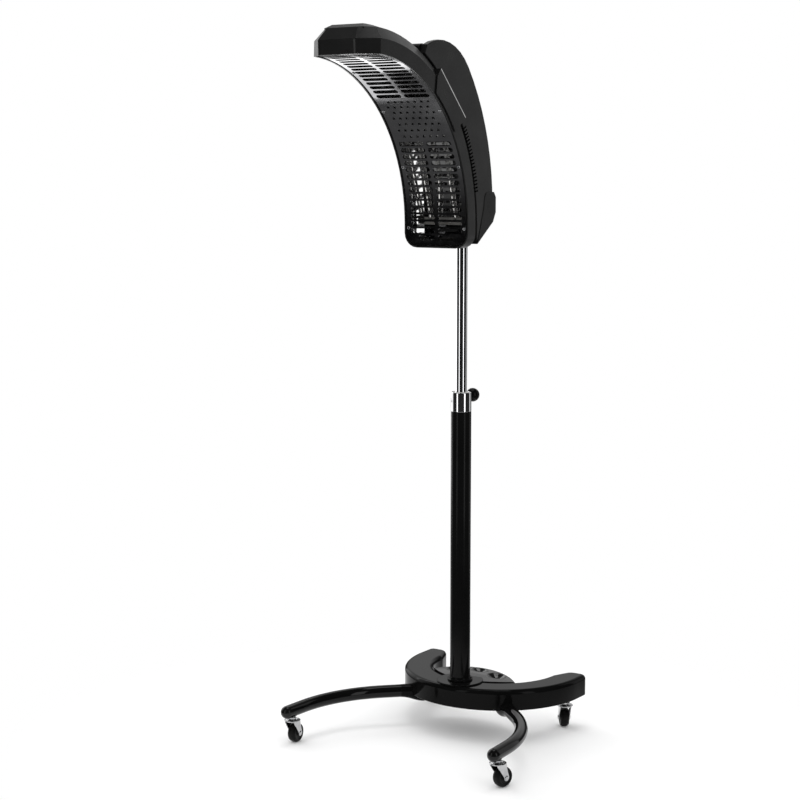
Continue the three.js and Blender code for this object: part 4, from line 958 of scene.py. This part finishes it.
def grillePart(size):
    lines = crossLines(size)
    flat, front, kept = flatGrille(size, grilleOutline(size, lines), grilleHoles(size), lines)
    face, edge, thick = pick(size, "front edge thick")
    count = len(flat)
    solid = [onArch(point.x, point.y, face) for point in front]
    solid += [onArch(point.x, point.y, face + edge) for point in flat]
    solid += [onArch(point.x, point.y, face + thick) for point in flat]
    faces = [list(triangle) for triangle in kept]
    faces += [[2 * count + k for k in reversed(triangle)] for triangle in kept]
    border = {}  # a dictionary keeps the edges in order
    for triangle in kept:
        for a, b in zip(triangle, triangle[1:] + triangle[:1]):
            border[(a, b)] = True
    for a, b in border:
        if (b, a) not in border:
            faces.append([b, a, count + a, count + b])
            faces.append([count + b, count + a, 2 * count + a, 2 * count + b])
    return solid, faces


addPiece("archGrille", grillePart(grilleSizes), "arch", "black_sheet", ["arch_grille"], 30, grilleFinish)
print("grille made")


# button-head screws that hold the grille
grilleScrews = dict(
    across=62.4, along=(-7.0, 110.0, 231.0, 347.0), radius=3.2, proud=1.7, socket=1.568, sink=1.0)


def grilleScrewSeats(spec):
    seats = []
    for along in spec["along"]:
        for across in (-spec["across"], spec["across"]):
            inward = onArch(across, along, 0) - onArch(across, along, 10)
            seats.append(facing(onArch(across, along, grilleSizes["front"]), inward))
    return seats


addPiece("grilleScrews", screwSet(grilleScrews, grilleScrewSeats(grilleScrews)), "arch", "plated_steel")
print("grille screws made")


# smooth cover on each side bracket, with a polished strip along its rear edge whose bright metal stands in for the
# light that edge catches, a painted highlight; corners are (degrees round the arch, radius)
bracketSizes = dict(
    face=73.3, thick=0.8, edge=0.3, sunk=1.0, low=34.4, high=52.1, front=303.5, steps=24,
    topFront=(54.8, 330.0), topRear=(54.7, 349.0), lowRear=(34.6, 349.0))
# sizes of the polished strip that paints the highlight on the bracket's rear edge
edgeGlintSizes = dict(near=0.4, far=2.4, topGap=1.0, lowGap=1.5, sunk=0.5, proud=0.25, edge=0.1)


def besideArch(angle, radius):
    turn = math.radians(angle)
    return Vector((columnY - archSizes["ahead"] + radius * math.cos(turn),
                   archSizes["height"] + radius * math.sin(turn)))


def bracketCoverPart(size, side):
    low, high, steps = pick(size, "low high steps")
    loop = [besideArch(*size[corner]) for corner in ("lowRear", "topRear", "topFront")]
    loop += [besideArch(low + (high - low) * k / steps, size["front"]) for k in range(steps, -1, -1)]
    return sidePlate(loop, size["face"] - size["sunk"], size["face"] + size["thick"], size["edge"], side)


# polished strip near the bracket's rear edge; its bright metal is a painted highlight standing in for light on
# that edge
def bracketEdgeGlintPart(size, trim, side):
    top, low = besideArch(*size["topRear"]), besideArch(*size["lowRear"])
    run = (low - top).normalized()
    inward = Vector((run.y, -run.x))
    start, end = top + run * trim["topGap"], low - run * trim["lowGap"]
    near, far = inward * trim["near"], inward * trim["far"]
    loop = [start + far, end + far, end + near, start + near]
    face = size["face"] + size["thick"]
    return sidePlate(loop, face - trim["sunk"], face + trim["proud"], trim["edge"], side)


for sideName, side in bothSides:
    addPiece(f"{sideName}BracketCover", bracketCoverPart(bracketSizes, side), "arch", "satin_black")
    # the strip made here is a painted highlight along the bracket's rear edge
    trim = bracketEdgeGlintPart(bracketSizes, edgeGlintSizes, side)
    addPiece(f"{sideName}BracketEdgeGlint", trim, "arch", "polished_sheet")
print("bracket covers made")


# raised line down each corner of the nose
noseRidges = dict(inner=36.2, outer=39.6, rise=0.6, foot=0.02, sunk=-0.5, low=1.0, high=25.0)


def noseRidgePart(spec, side):
    end = archSizes["length"]
    inner, outer, rise, foot, sunk = pick(spec, "inner outer rise foot sunk")
    rings = []
    for out in (spec["low"], spec["high"]):
        ahead = (onArch(0, end + 1, out) - onArch(0, end, out)).normalized()
        section = ((inner, sunk), (inner, rise), (outer, foot), (outer, sunk))
        rings.append([onArch(side * across, end, out) + ahead * proud for across, proud in section])
    return skinned(rings)


for sideName, side in bothSides:
    addPiece(f"{sideName}NoseRidge", noseRidgePart(noseRidges, side), "arch", "black_sheet", sharp=5)
print("nose ridges made")


# digits, key marks and screws of the rear panel
panelSizes = dict(lean=16.0, middle=1084.56, out=431.77)
panelScrews = dict(across=31.0, rise=48.0, radius=1.9, proud=0.855, socket=0.952, sink=0.5)
digitSizes = dict(
    figures="3000", wide=5.4, tall=10.0, stroke=1.2, step=8.4, colon=3.6, dot=0.75, rise=22.0, gap=0.22,
    sunk=0.05, proud=0.12, edge=0.04)
keyMarks = dict(
    across=15.0, upper=-12.0, lower=-36.0, low=0.9, high=1.16, stroke=1.3, reach=3.4, edge=0.08,
    arrow=(0.7, 0.85), ringGap=(50, 130), stem=(0.55, 0.75))  # arrow and stem are shares of the reach
litSegments = {"0": "abcdef", "3": "abcdg"}
segmentEnds = {"a": (0, 1), "b": (1, 2), "c": (2, 3), "d": (3, 4), "e": (4, 5), "f": (5, 0), "g": (5, 2)}


def standing(place, right, up):  # local x to the right, y up and z outward
    turn = Matrix((right, up, right.cross(up))).transposed()
    return Matrix.Translation(place) @ turn.to_4x4()


def onPanel(size):
    lean = math.radians(size["lean"])
    up = Vector((0, -math.sin(lean), math.cos(lean)))
    out = Vector((0, math.cos(lean), math.sin(lean)))
    return standing(up * size["middle"] + out * size["out"], Vector((-1, 0, 0)), up)


def segmentLoop(start, end, size):
    along = (end - start).normalized()
    across = Vector((-along.y, along.x))
    start, end = start + along * size["gap"], end - along * size["gap"]
    half = size["stroke"] / 2
    return [start, start + (along - across) * half, end - (along + across) * half,
            end, end + (across - along) * half, start + (along + across) * half]


def digitsPart(size):
    w, t, step, colon, middle = pick(size, "wide tall step colon rise")
    corners = [Vector(corner) for corner in ((0, t), (w, t), (w, t / 2), (w, 0), (0, 0), (0, t / 2))]
    span = step * (len(size["figures"]) - 1) + colon + w
    loops = []
    for place, figure in enumerate(size["figures"]):
        left = place * step + (colon if place > 1 else 0) - span / 2
        corner = Vector((left, middle - t / 2))
        for segment in litSegments[figure]:
            first, last = (corners[k] + corner for k in segmentEnds[segment])
            loops.append(segmentLoop(first, last, size))
    loops += [arc((0, middle + rise), size["dot"], 0, 360, 16)[:-1] for rise in (-t / 5, t / 5)]
    return merged(*[plate(loop, -size["sunk"], size["proud"], size["edge"], 1) for loop in loops])


def barLoop(long, high):
    return [Vector(corner) for corner in ((-long, -high), (long, -high), (long, high), (-long, high))]


def keyMarkLoops(mark):
    reach, stroke = pick(mark, "reach stroke")
    half = stroke / 2
    quarter = [Vector(corner) for corner in ((half, -half), (reach, -half), (reach, half))]
    turns = [Matrix.Rotation(math.radians(90 * k), 2) for k in range(4)]
    plus = [turn @ corner for turn in turns for corner in quarter]
    back, wide, tall, raised = (reach * share for share in mark["arrow"] + mark["stem"])
    start = [Vector((-back, -wide)), Vector((reach, 0)), Vector((-back, wide))]
    gapEnd, gapStart = mark["ringGap"][0] + 360, mark["ringGap"][1]
    ring = arc((0, 0), reach, gapStart, gapEnd, 36) + arc((0, 0), reach - stroke, gapEnd, gapStart, 36)
    stem = [corner + Vector((0, raised)) for corner in barLoop(half, tall)]
    return {"key_1": [barLoop(reach, half)], "key_2": [plus], "key_3": [start], "key_4": [ring, stem]}


def panelScrewSeats(spec):
    across, rise = pick(spec, "across rise")
    return [Matrix.Translation((x, y, 0)) for x in (-across, across) for y in (-rise, rise)]


panelPlace = onPanel(panelSizes)
addPiece("displayDigits", moved(digitsPart(digitSizes), panelPlace), "head", "smoked_lens", look=digitFinish)
panelHeads = screwSet(panelScrews, panelScrewSeats(panelScrews))
addPiece("panelScrews", moved(panelHeads, panelPlace), "head", "plated_steel")
keyPlaces = {"key_1": (-1, "upper"), "key_2": (1, "upper"), "key_3": (-1, "lower"), "key_4": (1, "lower")}
for keyName, loops in keyMarkLoops(keyMarks).items():
    keySide, keyRow = keyPlaces[keyName]
    keySeat = panelPlace @ Matrix.Translation((keySide * keyMarks["across"], keyMarks[keyRow], 0))
    markPart = merged(*[plate(loop, *pick(keyMarks, "low high edge"), 1) for loop in loops])
    addPiece(f"{keyName}_mark", moved(markPart, keySeat), keyName, "black_nylon")
print("panel marks made")


# rocker marks and the screws of the lower rear cover
rockerSizes = dict(
    across=28.0, height=1048.5, face=143.1, dip=1.2, half=9.6, rise=5.0, bar=(0.6, 2.3), low=-0.1,
    high=0.14, edge=0.05, radius=2.4, bore=1.3, rounds=(0, 0, 0.05, 0.05))
coverScrews = dict(across=49.5, height=1048.5, face=143.1, radius=2.9, proud=1.3, socket=1.456, sink=0.8)


def rockerMarksPart(size):
    slope = size["dip"] / size["half"]
    line = plate(barLoop(*size["bar"]), *pick(size, "low high edge"), 1)
    marks = []
    for way, mark in ((1, line), (-1, tubePart(size, sides=32))):
        up = Vector((0, way * slope, 1)).normalized()
        seat = (size["across"], size["face"] + slope * size["rise"], size["height"] + way * size["rise"])
        marks.append(moved(mark, standing(seat, Vector((-1, 0, 0)), up)))
    return merged(*marks)


def coverScrewSeats(spec):
    across, face, height = pick(spec, "across face height")
    return [facing((x, face, height), (0, 1, 0)) for x in (-across, across)]


addPiece("rockerMarks", rockerMarksPart(rockerSizes), "rocker", "white_nylon")
addPiece("coverScrews", screwSet(coverScrews, coverScrewSeats(coverScrews)), "head", "plated_steel")
print("rocker marks and cover screws made")


# studio: pale floor, white surround and soft lights; levels are (height, brightness)
studio = dict(floorRadius=0.95, floorFade=(0.40, 0.85), floorColor=0.93, floorRough=0.9, floorGloss=0.1,
              ambient=0.95, rearward=(-0.70, 0.714, 0.0), rearMask=(0.3, 0.72),
              rearLevels=((-1.0, 0.2), (-0.52, 0.3), (-0.42, 0.9), (-0.2, 0.55), (-0.1, 0.05), (0.1, 0.05),
                          (0.2, 0.45), (0.3, 0.8), (0.6, 0.6)),
              frontLevels=((-1.0, 0.24), (-0.5, 0.19), (-0.25, 0.06), (-0.1, 0.012), (0.1, 0.004),
                           (1.0, 0.05)))
lamps = {
    "overheadSoftbox": dict(place=(-0.2, 0.3, 2.9), aim=(0, 0.1, 0.6), size=(1.1, 1.1), radiance=3.2),
    "frontLeftStrip": dict(place=(-0.58, -2.5, 1.2), aim=(0, 0.1, 1.1), size=(0.62, 2.6), radiance=1.8),
    "frontRightStrip": dict(place=(2.5, -0.65, 1.2), aim=(0, 0.1, 1.1), size=(0.66, 2.6), radiance=1.8),
    "rightRearStrip": dict(place=(1.4, 2.3, 1.2), aim=(0, 0.1, 1.1), size=(0.9, 2.8), radiance=0.6),
    "leftRearBox": dict(place=(-2.6, 0.45, 1.2), aim=(0, 0.1, 1.1), size=(2.6, 2.4), radiance=0.9),
    "underArchPanel": dict(place=(-0.633, 0.47, 0.784), aim=(0.102, -0.12, 1.194), size=(0.36, 0.41),
                           radiance=2.9),
    "lowArchPanel": dict(place=(-0.664, 0.183, 0.426), aim=(0.071, -0.407, 0.836), size=(0.085, 0.41),
                         radiance=2.6, roll=40.4),
}


def opaque(level):
    return (*grey(level), 1.0)


def eased(tree, source, low, high, start=0.0, end=1.0):
    return addNode(tree, "ShaderNodeMapRange", {
        "Value": source, "From Min": low, "From Max": high, "To Min": start, "To Max": end},
        interpolation_type="SMOOTHSTEP").outputs["Result"]


def buildFloor(setup):
    reach = setup["floorRadius"]
    rim = [(reach * math.cos(turn), reach * math.sin(turn), 0) for turn in fullTurn(96)]
    mesh = bpy.data.meshes.new("studioFloor")
    mesh.from_pydata(rim, [], [list(range(len(rim)))])
    floor = bpy.data.objects.new("studioFloor", mesh)
    scene.collection.objects.link(floor)
    paper = bpy.data.materials.new("palePaper")
    paper.use_nodes = True
    tree = paper.node_tree
    place = addNode(tree, "ShaderNodeTexCoord").outputs["Object"]
    distance = addNode(tree, "ShaderNodeVectorMath", {0: place}, operation="LENGTH").outputs["Value"]
    feed(tree, tree.nodes["Principled BSDF"], {
        "Base Color": opaque(setup["floorColor"]), "Roughness": setup["floorRough"],
        "Specular IOR Level": setup["floorGloss"],
        "Alpha": eased(tree, distance, *setup["floorFade"], 1.0, 0.0)})  # thins out into the white surround
    mesh.materials.append(paper)


def buildSurround(setup):
    world = bpy.data.worlds.new("studioSurround")
    scene.world = world
    world.use_nodes = True
    tree = world.node_tree
    tree.nodes.clear()
    place = addNode(tree, "ShaderNodeTexCoord").outputs["Generated"]
    rise = addNode(tree, "ShaderNodeSeparateXYZ", {"Vector": place}).outputs["Z"]
    height = addNode(tree, "ShaderNodeMapRange", {"Value": rise, "From Min": -1.0}).outputs["Result"]

    def levels(steps):  # how bright the room is at each height
        ramp = addNode(tree, "ShaderNodeValToRGB", {"Fac": height})
        return setStops(ramp, [((step + 1) / 2, grey(level)) for step, level in steps])

    def background(color):
        return addNode(tree, "ShaderNodeBackground", {"Color": color}).outputs[0]

    def mixed(factor, first, second):
        return addNode(tree, "ShaderNodeMixShader", {"Fac": factor, 1: first, 2: second}).outputs[0]

    behind = addNode(tree, "ShaderNodeVectorMath", {0: place, 1: setup["rearward"]}, operation="DOT_PRODUCT")
    mask = eased(tree, behind.outputs["Value"], *setup["rearMask"])
    room = addNode(tree, "ShaderNodeMix", {0: mask}, data_type="RGBA")
    frontColor, rearColor = (socket for socket in room.inputs if socket.type == "RGBA")
    tree.links.new(levels(setup["frontLevels"]), frontColor)
    tree.links.new(levels(setup["rearLevels"]), rearColor)
    roomColor = next(socket for socket in room.outputs if socket.type == "RGBA")
    path = addNode(tree, "ShaderNodeLightPath").outputs
    either = addNode(tree, "ShaderNodeMath", {0: path["Is Glossy Ray"], 1: path["Is Transmission Ray"]},
                     operation="MAXIMUM")
    offCamera = mixed(either.outputs["Value"], background(opaque(setup["ambient"])), background(roomColor))
    whole = mixed(path["Is Camera Ray"], offCamera, background(opaque(1.0)))
    addNode(tree, "ShaderNodeOutputWorld", {"Surface": whole})


def addLamp(name, spec):
    light = bpy.data.lights.new(name, "AREA")
    light.shape = "RECTANGLE"
    light.size, light.size_y = spec["size"]
    light.energy = spec["radiance"] * math.pi * light.size * light.size_y
    holder = bpy.data.objects.new(name, light)
    scene.collection.objects.link(holder)
    holder.location = spec["place"]
    aim = Vector(spec["aim"]) - Vector(spec["place"])
    roll = Matrix.Rotation(math.radians(spec.get("roll", 0)), 3, "Z")
    holder.rotation_euler = (aim.to_track_quat("-Z", "Y").to_matrix() @ roll).to_euler()
    holder.visible_camera = False


buildFloor(studio)
buildSurround(studio)
for lampName, lampSpec in lamps.items():
    addLamp(lampName, lampSpec)
print("studio lit")
